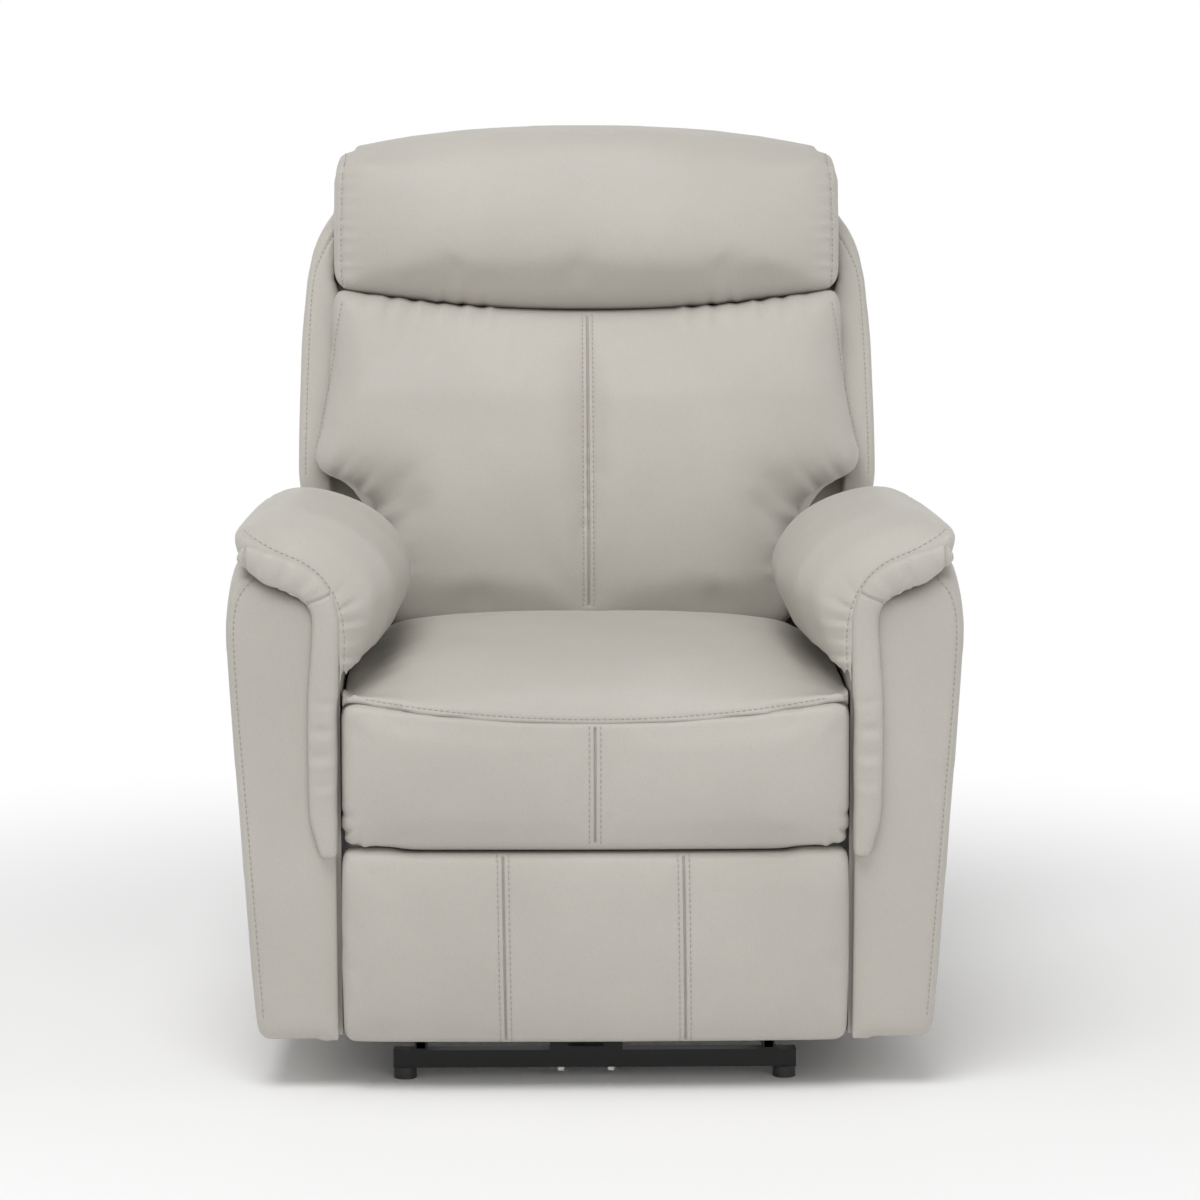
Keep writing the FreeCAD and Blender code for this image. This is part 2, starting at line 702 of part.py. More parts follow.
node(side_plate("footrest_rail_hanger", "lift_drive_x - channel_half - plate",
                [("front_tube_y - tube_hold", "rail_low"), ("front_tube_y + tube_hold", "rail_low"),
                 ("front_tube_y + tube_hold", "front_tube_z + tube_hold"),
                 ("front_tube_y - tube_hold", "front_tube_z + tube_hold")],
                [("front_tube_y", "front_tube_z", "tube_radius")]), "footrest_rail_hanger")
LIFT_SLIDER_LOW = "drive_z - drive_dip - drive_radius - 8"
LIFT_SLIDER_TOP = "rail_low - slider_clear"
node(side_plate("footrest_slider", "lift_drive_x - slider_half",
                [("drive_y - slider_long / 2", LIFT_SLIDER_LOW),
                 ("drive_y + slider_long / 2", LIFT_SLIDER_LOW),
                 ("drive_y + slider_long / 2", LIFT_SLIDER_TOP),
                 ("drive_y - slider_long / 2", LIFT_SLIDER_TOP)],
                slots=[window("drive_y", "drive_z", "drive_radius + 1.6", "drive_radius + drive_dip + 1",
                              "drive_radius + 1")], thick="2 * slider_half"), "footrest_slider")

# Footrest links
lift_pins = [
    stud(f"lift_pin_{i}", y, z, "lift_x", "cross_x + plate + head_gap", 0)
    for i, (y, z) in enumerate((("cross_y", "cross_z"), ("toe_y", "toe_z")))]
both_sides("footrest_lift_links", fuse("footrest_lift_link", lift_pins + [flat_link(
    "lift_strip", "lift_x", "lift_y", "lift_z", "lift_angle", "lift_length", "slim_half + 1",
    [("lift_y", "lift_z", RUNNING)])]))
cross_arm = flat_link("cross_arm", "cross_x", "cross_y", "cross_z", "cross_angle", "cross_length",
                      "slim_half", [("upper_y", "upper_z", RUNNING)])
cross_tail = flat_link("cross_tail", "cross_x", "cross_y + tail_start * cos(tail_angle)",
                       "cross_z + tail_start * sin(tail_angle)", "tail_angle", "tail_length - tail_start",
                       "slim_half + 3.5", [("tail_y", "tail_z", "pin_radius + tail_play")])
both_sides("footrest_cross_links", cut("footrest_cross_link", fuse("cross_body", [cross_arm, cross_tail]), [
    round_bar("cross_bore", "x", "cross_x - 1", "cross_y", "cross_z", RUNNING, "plate + 2")]))
both_sides("footrest_toe_links", flat_link(
    "footrest_toe_link", "cross_x", "toe_y", "toe_z", "cross_angle", "cross_length", "slim_half",
    [("toe_y", "toe_z", RUNNING), ("lower_y", "lower_z", "pin_radius + open_play")]))
control_arm = flat_link("control_arm", "control_x", "control_y", "control_z", "control_angle",
                        "control_length", "slim_half + 1", [])
control_lever = flat_link("control_lever", "control_x", "control_y", "control_z",
                          "lever_angle", "lever_length", "slim_half + 3", [])
control_pin = round_bar("control_pin", "x", "cross_x + open_play", "reach_y", "reach_z", "pin_radius",
                        "control_x + plate - cross_x - open_play")
both_sides("footrest_control_links", cut(
    "footrest_control_link", fuse("control_body", [control_arm, control_lever, control_pin]), [
        round_bar("control_bore", "x", "control_x - 1", "control_y", "control_z", RUNNING, "plate + 2"),
        round_bar("lever_bore", "x", "control_x - 1", "drive_y", "drive_z", "drive_radius", "plate + 2")]))
node(round_bar("footrest_drive_tube", "x", "-control_x - plate", "drive_y", "drive_z", "drive_radius",
               "2 * (control_x + plate)"), "footrest_drive_tube")

# Footrest panel
BOARD_REAR = "pad_thick + board_thick"
arm_plate = side_plate("footrest_arm", "lift_x",
                       [(BOARD_REAR, "lower_z - 40"), ("lower_y - 4", "lower_z - 12"),
                        ("lower_y + 11", "lower_z - 9"), ("upper_y + 10", "upper_z + 6"),
                        ("upper_y - 6", "upper_z + 9"), (BOARD_REAR, "pad_top - 33")])
arm_flange = block("footrest_flange", ("lift_x - 22", "lift_x"), (BOARD_REAR, BOARD_REAR + " + plate"),
                   ("lower_z - 40", "pad_top - 33"))
panel_pins = [
    stud(f"panel_pin_{i}", y, z, "lift_x", "cross_x + plate + head_gap", 0)
    for i, (y, z) in enumerate((("upper_y", "upper_z"), ("lower_y", "lower_z")))]
both_sides("footrest_brackets", fuse("footrest_bracket", [arm_plate, arm_flange] + panel_pins))
node(sheet_piece("footrest_board", "XZ", "pad_thick", "board_thick",
                 [("-seat_half + 26", "pad_low + 15"), ("seat_half - 26", "pad_low + 15"),
                  ("seat_half - 26", "pad_top - 25"), ("-seat_half + 26", "pad_top - 25")]),
     "footrest_board")
node(cushion("footrest_pad", "seat_half", lambda f: (
    [(f"10 + 12 * {f}", f"pad_low + 3 + 8 * {f}"), ("pad_thick", "pad_low + 5"),
     ("pad_thick", "pad_top - 20"), (f"10 + 12 * {f}", f"pad_top - 8 - 6 * {f}")],
    [None, None, "8", f"10 - 3 * {f}"])), "footrest_pad")

# Wooden seat frame, webbing and seat padding
BOARD_INNER = "seat_x - 8"
side_board = block("seat_side_board", (BOARD_INNER, f"{BOARD_INNER} + side_board_wide"),
                   ("board_front", "cushion_rear"), ("plate_high", "board_top"))
end_boards = [
    block(f"seat_end_board_{i}", (f"-({BOARD_INNER})", BOARD_INNER), y, ("plate_high", "board_top"))
    for i, y in enumerate((("board_front", "board_front + board_wide"),
                           ("cushion_rear - board_wide", "cushion_rear")))]
group("seat_boards", [side_board, mirror("seat_side_board_mirror", side_board)] + end_boards)
STRAPS = 5
STRAP_PITCH = f"(cushion_rear - strap_front - 12) / {STRAPS}"
group("seat_webbing", [
    block(f"webbing_{i}", ("-seat_x - 10", "seat_x + 10"),
          (f"strap_front + {i} * {STRAP_PITCH}", f"strap_front + ({i} + strap_share) * {STRAP_PITCH}"),
          ("board_top", "cushion_low")) for i in range(STRAPS)])
LIP_LOW = "roll_top + soft_gap"
node(cushion("seat_cushion", "seat_half", lambda f: (
    [(f"roll_deep + 2 + 6 * {f}", "cushion_low"), ("cushion_rear", "cushion_low"),
     ("cushion_rear", f"seat_height - 16 - 18 * {f}"), (f"72 + 8 * {f}", f"seat_height - 9 - 20 * {f}"),
     (f"22 + 14 * {f}", f"{LIP_LOW} + 3 * {f}"), (f"roll_deep + 2 + 6 * {f}", f"{LIP_LOW} + 3 * {f}")],
    [None, None, f"12 - 8 * {f}", "13", None, None])), "seat_cushion")
node(cushion("seat_front_panel", "seat_half", lambda f: (
    [(f"36 + 6 * {f}", f"roll_low + 4 * {f}"), ("roll_deep", f"roll_low + 4 * {f}"),
     ("roll_deep", "roll_top"), (f"20 + 10 * {f}", "roll_top")],
    [None, None, None, f"22 - 4 * {f}"])), "seat_front_panel")

# Arms
both_sides("arm_frames", side_plate(
    "arm_frame", "arm_inner",
    [("arm_front + 16", "arm_low + 6"), ("arm_rear - 10", "arm_low + 6"),
     ("arm_rear - 10", "arm_rear_top - 8"), ("cushion_rear", "arm_rear_top - 8"),
     ("cushion_rear - 20", "arm_top"), ("arm_front + 16", "arm_top")], thick="arm_board"))
PANEL_INNER = "arm_inner + arm_board"
SLOPE_IN = (f"{PANEL_INNER} + 20", "arm_top + 4")
SLOPE_OUT = ("half_width - 14", "arm_height - 32")


# A point on the sloping top of the arm, measured from its outer edge
def arm_slope_point(share):
    return tuple(f"({a}) + {share} * (({b}) - ({a}))" for a, b in zip(SLOPE_OUT, SLOPE_IN))


def arm_section(y, drop):
    return (deep(y), [
        (PANEL_INNER, "arm_low"), ("arm_foot_half", "arm_low"), ("half_width", "arm_top - arm_edge"),
        (SLOPE_OUT[0], f"{SLOPE_OUT[1]} - {drop}"), (SLOPE_IN[0], f"{SLOPE_IN[1]} - {drop} * 0.4"),
        (PANEL_INNER, f"arm_top - {drop} * 0.4")], [None, None, "3", None, None, None])


left_and_right("arm_panel", soft("arm_panel", FACING, "y", [
    arm_section("arm_front", 0), arm_section("cushion_rear - 30", 0),
    arm_section("cushion_rear", 66), arm_section("arm_rear", 66)]))


# Arm pad: a sloping front that swells into a lobe over the seat
def pad_section(y, lobe, crown, outer):
    edge = "arm_inner - soft_gap"
    low = f"arm_top - 58 * {lobe}"
    out_x, out_z = arm_slope_point(outer)
    return (deep(y), [
        (edge, "arm_top"), (PANEL_INNER, "arm_top"), SLOPE_IN, (out_x, out_z),
        (out_x, f"{out_z} + 14 + 8 * {crown}"),
        (f"{edge} + (({out_x}) - ({edge})) * (0.52 - 0.36 * {lobe})", f"arm_height - 44 + 32 * {crown}"),
        (f"{edge} - 2 - (arm_lobe - 2) * {lobe}", f"arm_top + 8 - 4 * {lobe}"),
        (f"{edge} - 1 - (arm_lobe - 30) * {lobe}", low)],
        [None, None, None, None, f"5 + 5 * {crown}", f"3 + 6 * {crown}", f"1 + 5 * {lobe}", None])


left_and_right("arm_pad", soft("arm_pad", FACING, "y", [
    pad_section(y, lobe, crown, outer) for y, lobe, crown, outer in (
        ("arm_front - 8", 0.06, 0, 0.04), ("arm_front + 14", 0.3, 0.5, 0.01),
        ("arm_front + 70", 0.75, 0.9, 0), ("arm_front + 200", 1, 1, 0),
        ("cushion_rear - 100", 0.95, 0.9, 0.01), ("cushion_rear - 32", 0.8, 0.4, 0.05))]))
both_sides("arm_gussets", sheet_piece(
    "arm_gusset", "XZ", "arm_front - gusset_thick", "gusset_thick",
    [("arm_inner + 3", "pad_top - 8"), ("arm_inner + 14", "pad_top - 4"), ("arm_inner + 30", "pad_top + 60"),
     ("arm_inner + 34", "arm_top - 90"), ("arm_inner + 36", "arm_top - 5"), ("arm_inner + 3", "arm_top - 9")],
    rounding="4"))
BRACKET_LOW = "bar_top + bracket_rise"
both_sides("arm_brackets", fuse("arm_bracket_set", [
    block(f"arm_bracket_{name}_{i}", x, (y, f"{y} + bracket_long"), (BRACKET_LOW, top))
    for i, y in enumerate(("swing_front - bracket_long - 26", "swing_rear + 50"))
    for name, x, top in (("reach", ("upright_x", "arm_inner"), f"{BRACKET_LOW} + plate"),
                         ("flange", ("arm_inner - plate", "arm_inner"), f"{BRACKET_LOW} + 82"))]))
both_sides("back_guide_plates", side_plate(
    "back_guide_plate", "arm_inner - guide_thick",
    [("guide_y - 20", "guide_z - 30"), ("guide_y + 20", "guide_z - 30"),
     ("guide_y + 20", "guide_z + 40"), ("guide_y - 20", "guide_z + 40")],
    slots=[window("guide_y", "guide_z", "pin_radius + guide_play", "pin_radius + 4", "pin_radius + 18")],
    thick="guide_thick"))

# Back frame
back_plate = side_plate(
    "back_plate", "bracket_x",
    [("hinge_y - 20", "hinge_z - 18"), ("hinge_y + 20", "hinge_z - 18"),
     (back_line("hinge_z + 110") + " + frame_thick", "hinge_z + 110"),
     (back_line("hinge_z + 240") + " + frame_thick", "hinge_z + 240"),
     (back_line("hinge_z + 240"), "hinge_z + 240"),
     (back_line("guide_z + 24"), "guide_z + 24"), ("guide_y - 12", "guide_z + 14"),
     ("guide_y - 12", "guide_z - 12"), ("hinge_y - 20", "guide_z - 40")],
    [("hinge_y", "hinge_z", "axle_radius + pin_fit")])
guide_pin = round_bar("back_guide_pin", "x", "bracket_x", "guide_y", "guide_z", "pin_radius",
                      "arm_inner - bracket_x - guide_play")
both_sides("back_brackets", fuse("back_bracket", [back_plate, guide_pin]))


def leaning(label, x, low, high, thick, behind="0"):
    places = [(f"{back_line(low)} + {behind}", low), (f"{back_line(low)} + {behind} + {thick}", low),
              (f"{back_line(high)} + {behind} + {thick}", high), (f"{back_line(high)} + {behind}", high)]
    return side_plate(label, x[0], places, thick=f"({x[1]}) - ({x[0]})")


FRAME_LOW = "hinge_z + 36"
both_sides("back_stiles", leaning("back_stile", ("stile_x", "bracket_x"), FRAME_LOW, "frame_top",
                                  "frame_thick"))
group("back_rails", [
    leaning(f"back_rail_{i}", ("-stile_x", "stile_x"), low, f"{low} + rail_deep", "frame_thick")
    for i, low in enumerate((FRAME_LOW, "crease_z - 230", "frame_top - rail_deep"))])

# Back padding
BACK_LOW = "arm_top + 20"
node(leaning("back_lower_panel", ("-narrow_half", "narrow_half"), "hinge_z + 40", "arm_top + 12", "panel_thick",
             "frame_thick"), "back_lower_panel")


def shell_section(height, half, rear):
    front = back_line(height) + " + frame_thick"
    return (height, [(f"-({half})", deep(front)), (half, deep(front)), (f"({half}) - 14", deep(rear)),
                     (f"-({half}) + 14", deep(rear))], [None, None, "14", None])


node(soft("back_shell", UPWARD, "z", [
    shell_section(BACK_LOW, "back_half - 60", back_line(BACK_LOW) + " + 76"),
    shell_section("arm_top + 105", "back_half", back_line("arm_top + 105") + " + 100"),
    shell_section("crease_z - 40", "back_half", "overall_depth - 40"),
    shell_section("crease_z + 60", "back_half - 14", "overall_depth - 14"),
    shell_section("crease_z + 130", "back_half - 26", "overall_depth - 20"),
    shell_section("frame_top + 4", "back_half - 44", "overall_depth - 46")]), "back_shell")


def wing_section(height, inner, outer, front, rear):
    line = back_line(height)
    return (height, [(inner, deep(f"{line} - {front}")), (outer, deep(f"{line} - {front} + 12")),
                     (outer, deep(f"{line} + {rear}")), (inner, deep(f"{line} + {rear}"))],
            ["3", None, None, None])


left_and_right("back_wing", soft("back_wing", UPWARD, "z", [
    wing_section("arm_top + 75", "back_half", "back_half + wing_thick - 2", "46", "84"),
    wing_section("arm_top + 150", "back_half", "back_half + wing_thick + 2", "58", "108"),
    wing_section("crease_z - 60", "back_half", "back_half + wing_thick + 2", "52", "118"),
    wing_section("crease_z + 20", "back_half", "back_half + wing_thick - 4", "40", "120"),
    wing_section("crease_z + 110", "back_half - 12", "back_half - 4", "16", "96")]))
LUMBAR_LOW = "seat_height - 44"
node(cushion("lumbar_cushion", "narrow_half", lambda f: (
    [(f"cushion_rear + 6 + 10 * {f}", LUMBAR_LOW), (back_line(LUMBAR_LOW), LUMBAR_LOW),
     (back_line("arm_top + 12"), "arm_top + 12"), (f"cushion_rear + 22 + 14 * {f}", "arm_top + 12")],
    [None, None, None, "3"])), "lumbar_cushion")


# Upper back cushion: wide above the arms, its lower corners cut away over them
def back_profile(share):
    f = fall(share)
    rise = max(0, (share - 0.75) / 0.25)
    low = f"{BACK_LOW} - 4 + 92 * {rise:.3f}"
    high = f"crease_z - 3 - 46 * {f}"
    return ([(f"{back_line(low)} - 98 + 40 * {f}", low), (back_line(low), low), (back_line(high), high),
             (f"{back_line(high)} - 72 + 26 * {f}", high)], [None, None, None, f"20 - 12 * {f}"])


back_sections = []
for share in (-1, -0.94, -0.86, -0.75, -0.4, 0, 0.4, 0.75, 0.86, 0.94, 1):
    places, bulges = back_profile(abs(share))
    back_sections.append((f"back_half * {share}", side_corners(places), bulges))
node(soft("back_cushion", SIDEWAYS, "x", back_sections), "back_cushion")
CROWN_LOW = "overall_height - 28"
node(cushion("headrest_cushion", "head_half", lambda f: (
    [(f"{back_line('head_low')} - 74 + 24 * {f}", f"head_low + 6 * {f}"),
     (back_line(f"head_low + 6 * {f}"), f"head_low + 6 * {f}"),
     (back_line(f"{CROWN_LOW} - 24 * {f}"), f"{CROWN_LOW} - 24 * {f}"),
     (f"{back_line(CROWN_LOW)} - 62 + 20 * {f}", f"{CROWN_LOW} - 24 * {f}")],
    [None, None, f"28 - 14 * {f}", f"24 - 10 * {f}"])), "headrest_cushion")


# Switches on the outer side of one arm, set out flat and then laid on the sloping panel
def local_block(label, x, y, z):
    thing = doc.addObject("Part::Box", label)
    for prop, axis, (low, high) in (("Length", "x", x), ("Width", "y", y), ("Height", "z", z)):
        bind(thing, prop, f"({high}) - ({low})")
        bind(thing, "Placement.Base." + axis, low)
    return thing


def local_pin(label, y, radius, half):
    thing = doc.addObject("Part::Cylinder", label)
    bind(thing, "Radius", radius)
    bind(thing, "Height", f"2 * ({half})")
    bind(thing, "Placement.Base.x", "switch_thick / 2")
    bind(thing, "Placement.Base.y", y)
    bind(thing, "Placement.Base.z", f"-({half})")
    return thing


def on_arm(label, thing):
    thing.Placement = Placement(Vector(), Rotation(Vector(0, 1, 0), number("arm_slope")))
    bind(thing, "Placement.Rotation.Angle", "arm_slope")
    bind(thing, "Placement.Base.x", "half_width - (arm_top - arm_edge - switch_z) * tan(arm_slope)")
    bind(thing, "Placement.Base.y", deep("switch_y"))
    bind(thing, "Placement.Base.z", "switch_z")
    return node(mirror(label, thing), label)


ROCKERS = (("footrest_rocker", "-rocker_long / 2 - 4"), ("recline_rocker", "rocker_long / 2 + 4"))
HALF_LONG = "rocker_long / 2"
HALF_WIDE = "rocker_wide / 2"
switch_face = local_block("switch_face", ("0", "switch_thick"), ("-rocker_long - 12", "rocker_long + 12"),
                          ("-rocker_wide / 2 - 8", "rocker_wide / 2 + 8"))
switch_cuts = []
for name, y in ROCKERS:
    switch_cuts.append(local_block(
        name + "_opening", ("-1", "switch_thick + 1"),
        (f"{y} - {HALF_LONG} - rocker_gap", f"{y} + {HALF_LONG} + rocker_gap"),
        (f"-{HALF_WIDE} - rocker_gap", f"{HALF_WIDE} + rocker_gap")))
    switch_cuts.append(local_pin(name + "_bearing", y, "trunnion + pin_fit", f"{HALF_WIDE} + 4"))
on_arm("switch_plate", cut("switch_body", switch_face, switch_cuts))
for name, y in ROCKERS:
    key = local_block(name + "_key", ("2.2", "switch_thick + rocker_gap"),
                      (f"{y} - {HALF_LONG}", f"{y} + {HALF_LONG}"), (f"-{HALF_WIDE}", HALF_WIDE))
    on_arm(name, fuse(name + "_body", [key, local_pin(name + "_trunnion", y, "trunnion", f"{HALF_WIDE} + 3")]))

doc.recompute()

# Checks before anything is written
for thing in doc.Objects:
    if "Invalid" in thing.State or "Error" in thing.State:
        raise RuntimeError(f"{thing.Label} did not build: {thing.State}")
os.makedirs("parts", exist_ok=True)
for thing in nodes:
    if thing.Shape.isNull() or not thing.Shape.isValid() or not thing.Shape.Solids:
        raise RuntimeError(f"{thing.Label} has no valid solid")
    thing.Shape.exportStep(f"parts/{thing.Label}.step")
print("pieces", len(nodes))
for alias in LAYOUT:
    print(alias, round(number(alias), 4))
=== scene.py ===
import json
import math
import bmesh
import bpy
import numpy as np
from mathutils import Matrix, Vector
from mathutils.bvhtree import BVHTree


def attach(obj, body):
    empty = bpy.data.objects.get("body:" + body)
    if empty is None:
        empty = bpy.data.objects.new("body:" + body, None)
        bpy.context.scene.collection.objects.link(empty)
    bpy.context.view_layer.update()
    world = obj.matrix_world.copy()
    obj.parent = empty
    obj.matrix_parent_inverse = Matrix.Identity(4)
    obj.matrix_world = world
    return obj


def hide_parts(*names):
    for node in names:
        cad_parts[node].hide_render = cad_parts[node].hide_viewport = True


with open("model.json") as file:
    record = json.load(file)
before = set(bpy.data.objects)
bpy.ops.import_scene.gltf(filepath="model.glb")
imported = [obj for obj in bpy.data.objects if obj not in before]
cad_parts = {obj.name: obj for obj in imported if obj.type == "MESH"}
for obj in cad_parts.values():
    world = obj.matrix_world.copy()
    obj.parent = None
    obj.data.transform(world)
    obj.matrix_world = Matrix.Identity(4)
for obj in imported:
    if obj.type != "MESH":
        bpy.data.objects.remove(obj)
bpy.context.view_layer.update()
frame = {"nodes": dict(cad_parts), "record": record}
scene = bpy.context.scene
halfDepth = 450         # mm from the chair's front to the middle of the frame
mergeDistance = 1e-5    # m, points nearer than this become one
tiny = 1e-9             # keeps a division away from nought
stitchRows = {}         # body: lines on its surfaces, in metres

# Camera at the photograph's angle
cameraSettings = {"across": -0.0688, "front": 4.0, "height": 1.039, "tilt": 6.9, "turn": -1.047,
                  "lens": 110.4, "sensor": 36, "far": 100}
photoCamera = bpy.data.objects.new("photoCamera", bpy.data.cameras.new("photoCamera"))
scene.collection.objects.link(photoCamera)
photoCamera.data.lens = cameraSettings["lens"]
photoCamera.data.sensor_width = cameraSettings["sensor"]
photoCamera.data.clip_end = cameraSettings["far"]
photoCamera.location = (cameraSettings["across"], -cameraSettings["front"] - halfDepth / 1000,
                        cameraSettings["height"])
photoCamera.rotation_euler = (math.radians(90 - cameraSettings["tilt"]), 0,
                              math.radians(cameraSettings["turn"]))
scene.camera = photoCamera


# Points are in mm: across, behind the chair's front, above the floor
def toMetres(points):
    out = np.array(points, float) / 1000
    out[:, 1] -= halfDepth / 1000
    return out


def toMm(piece):
    flat = np.empty(len(piece.data.vertices) * 3)
    piece.data.vertices.foreach_get("co", flat)
    points = flat.reshape(-1, 3) * 1000
    points[:, 1] += halfDepth
    return points


def movePoints(piece, points):
    piece.data.vertices.foreach_set("co", toMetres(points).ravel())
    piece.data.update()


def pointNormals(piece):
    flat = np.empty(len(piece.data.vertices) * 3)
    piece.data.vertices.foreach_get("normal", flat)
    return flat.reshape(-1, 3)


def newPiece(name, points, faces):
    mesh = bpy.data.meshes.new(name)
    mesh.from_pydata(toMetres(points).tolist(), [], faces)
    mesh.validate()
    piece = bpy.data.objects.new(name, mesh)
    scene.collection.objects.link(piece)
    work = bmesh.new()
    work.from_mesh(mesh)
    bmesh.ops.remove_doubles(work, verts=work.verts, dist=mergeDistance)
    bmesh.ops.recalc_face_normals(work, faces=work.faces)
    work.to_mesh(mesh)
    work.free()
    return piece


def settle(piece):
    # modifiers become plain mesh
    graph = bpy.context.evaluated_depsgraph_get()
    made = bpy.data.meshes.new_from_object(piece.evaluated_get(graph))
    piece.modifiers.clear()
    old = piece.data
    piece.data = made
    bpy.data.meshes.remove(old)
    piece.data.shade_smooth()


def remesh(piece, voxel):
    mod = piece.modifiers.new("remesh", "REMESH")
    mod.mode = "VOXEL"
    mod.voxel_size = voxel / 1000
    settle(piece)


def relax(piece, rounds, factor=0.5):
    mod = piece.modifiers.new("relax", "SMOOTH")
    mod.factor = factor
    mod.iterations = rounds
    settle(piece)


def finer(piece):
    mod = piece.modifiers.new("finer", "SUBSURF")
    mod.levels = 1
    mod.render_levels = 1
    settle(piece)


# Smooth line through points, evenly spaced
def smoothLine(points, count, closed=False, between=20):
    p = np.array(points, float)
    if closed:
        ext = np.vstack([p[-1:], p, p[:2]])
    else:
        ext = np.vstack([2 * p[0] - p[1], p, 2 * p[-1] - p[-2]])
    steps = np.linspace(0, 1, between, endpoint=False)[:, None]
    fine = []
    for i in range(len(ext) - 3):
        a, b, c, d = ext[i:i + 4]
        fine.append(0.5 * (2 * b + (c - a) * steps + (2 * a - 5 * b + 4 * c - d) * steps ** 2
                           + (3 * b - a - 3 * c + d) * steps ** 3))
    fine = np.vstack(fine + [ext[-2:-1]])
    run = np.concatenate([[0], np.cumsum(np.linalg.norm(np.diff(fine, axis=0), axis=1))])
    at = np.linspace(0, run[-1], count, endpoint=not closed)
    return np.stack([np.interp(at, run, fine[:, k]) for k in range(fine.shape[1])], 1)


def insetLoop(loop, amount):
    ahead = np.roll(loop, -1, 0) - np.roll(loop, 1, 0)
    outward = np.stack([ahead[:, 1], -ahead[:, 0]], 1)
    outward /= np.linalg.norm(outward, axis=1, keepdims=True) + tiny
    x, y = loop[:, 0], loop[:, 1]
    turn = 1 if np.sum(x * np.roll(y, -1) - np.roll(x, -1) * y) > 0 else -1
    return loop - outward * amount * turn


# Faces between closed rings of points
def ringFaces(rings, count, base=0):
    faces = []
    for i in range(base, base + rings - 1):
        for j in range(count):
            k = (j + 1) % count
            faces.append((i * count + j, i * count + k, (i + 1) * count + k, (i + 1) * count + j))
    return faces


# A closed form through sections along one axis, its two ends rounded by low and high
def loftPiece(name, axis, start, end, low, high, section, step=14, count=72, endRings=8):
    first, last = start + low, end - high
    stations = [start + low - low * math.sin(a) for a in np.linspace(math.pi / 2, 0, endRings)[:-1]]
    stations += list(np.linspace(first, last, max(3, int((last - first) / step))))
    stations += [last + high * math.sin(a) for a in np.linspace(0, math.pi / 2, endRings)[1:]]
    points = []
    for at in stations:
        past, edge = (first - at, low) if at < first else (max(0, at - last), high)
        inset = edge - math.sqrt(max(edge * edge - past * past, 0)) if past > 0 else 0
        loop = insetLoop(smoothLine(section(at), count, closed=True), inset)
        points.append(np.insert(loop, "xyz".index(axis), at, axis=1))
    faces = ringFaces(len(stations), count)
    faces.append(tuple(range(count - 1, -1, -1)))
    faces.append(tuple(range((len(stations) - 1) * count, len(stations) * count)))
    return newPiece(name, np.vstack(points), faces)


# A pad with a drawn outline, seen from the front
def outlinePad(name, outline, spine, front, rear):
    count = len(outline)
    middle = np.stack([np.zeros(count), np.clip(outline[:, 1], *spine)], 1)
    shares = [1, 0.985, 0.965, 0.94, 0.9, 0.84, 0.76, 0.66, 0.54, 0.42, 0.3, 0.18, 0.05]
    points = []
    for side in (front, rear):
        for share in shares:
            ring = middle + (outline - middle) * share
            depth = np.min(np.linalg.norm(ring[:, None] - outline[None], axis=2), axis=1)
            points.append(np.stack([ring[:, 0], side(ring[:, 0], ring[:, 1], depth), ring[:, 1]], 1))
    rings, faces = len(shares), []
    for base in (0, rings):
        faces += ringFaces(rings, count, base)
        faces.append(tuple((base + rings - 1) * count + j for j in range(count)))
    for j in range(count):
        k = (j + 1) % count
        faces.append((j, k, rings * count + k, rings * count + j))
    return newPiece(name, np.vstack(points), faces)


# How far each point is from a line, and where along it
def lineSpot(points, line):
    best, along, passed = np.full(len(points), 1e9), np.zeros(len(points)), 0.0
    for a, b in zip(line[:-1], line[1:]):
        run = b - a
        length = np.linalg.norm(run)
        share = np.clip(((points - a) @ run) / (run @ run + tiny), 0, 1)
        away = np.linalg.norm(points - a - share[:, None] * run, axis=1)
        along = np.where(away < best, passed + share * length, along)
        best = np.minimum(best, away)
        passed += length
    return best, along, passed


def lineDistance(points, line):
    return lineSpot(points, line)[0]


# From 0 to 1 over a span
def ease(distance, span):
    return np.clip(distance / span, 0, 1)


def byHeight(z, table):
    return np.interp(z, list(table), list(table.values()))


def sided(line, side):
    return [(side * x, z) for x, z in line]


def fit(piece, axis, low, high):
    points, column = toMm(piece), "xyz".index(axis)
    was = points[:, column].min(), points[:, column].max()
    points[:, column] = np.interp(points[:, column], was, (low, high))
    movePoints(piece, points)


# Cloth with air in it: held along its seams, capped, then kept
clothSettings = {"quality": 4, "mass": 0.25, "stretch": 12, "shear": 6, "bending": 0.6, "frames": 20}


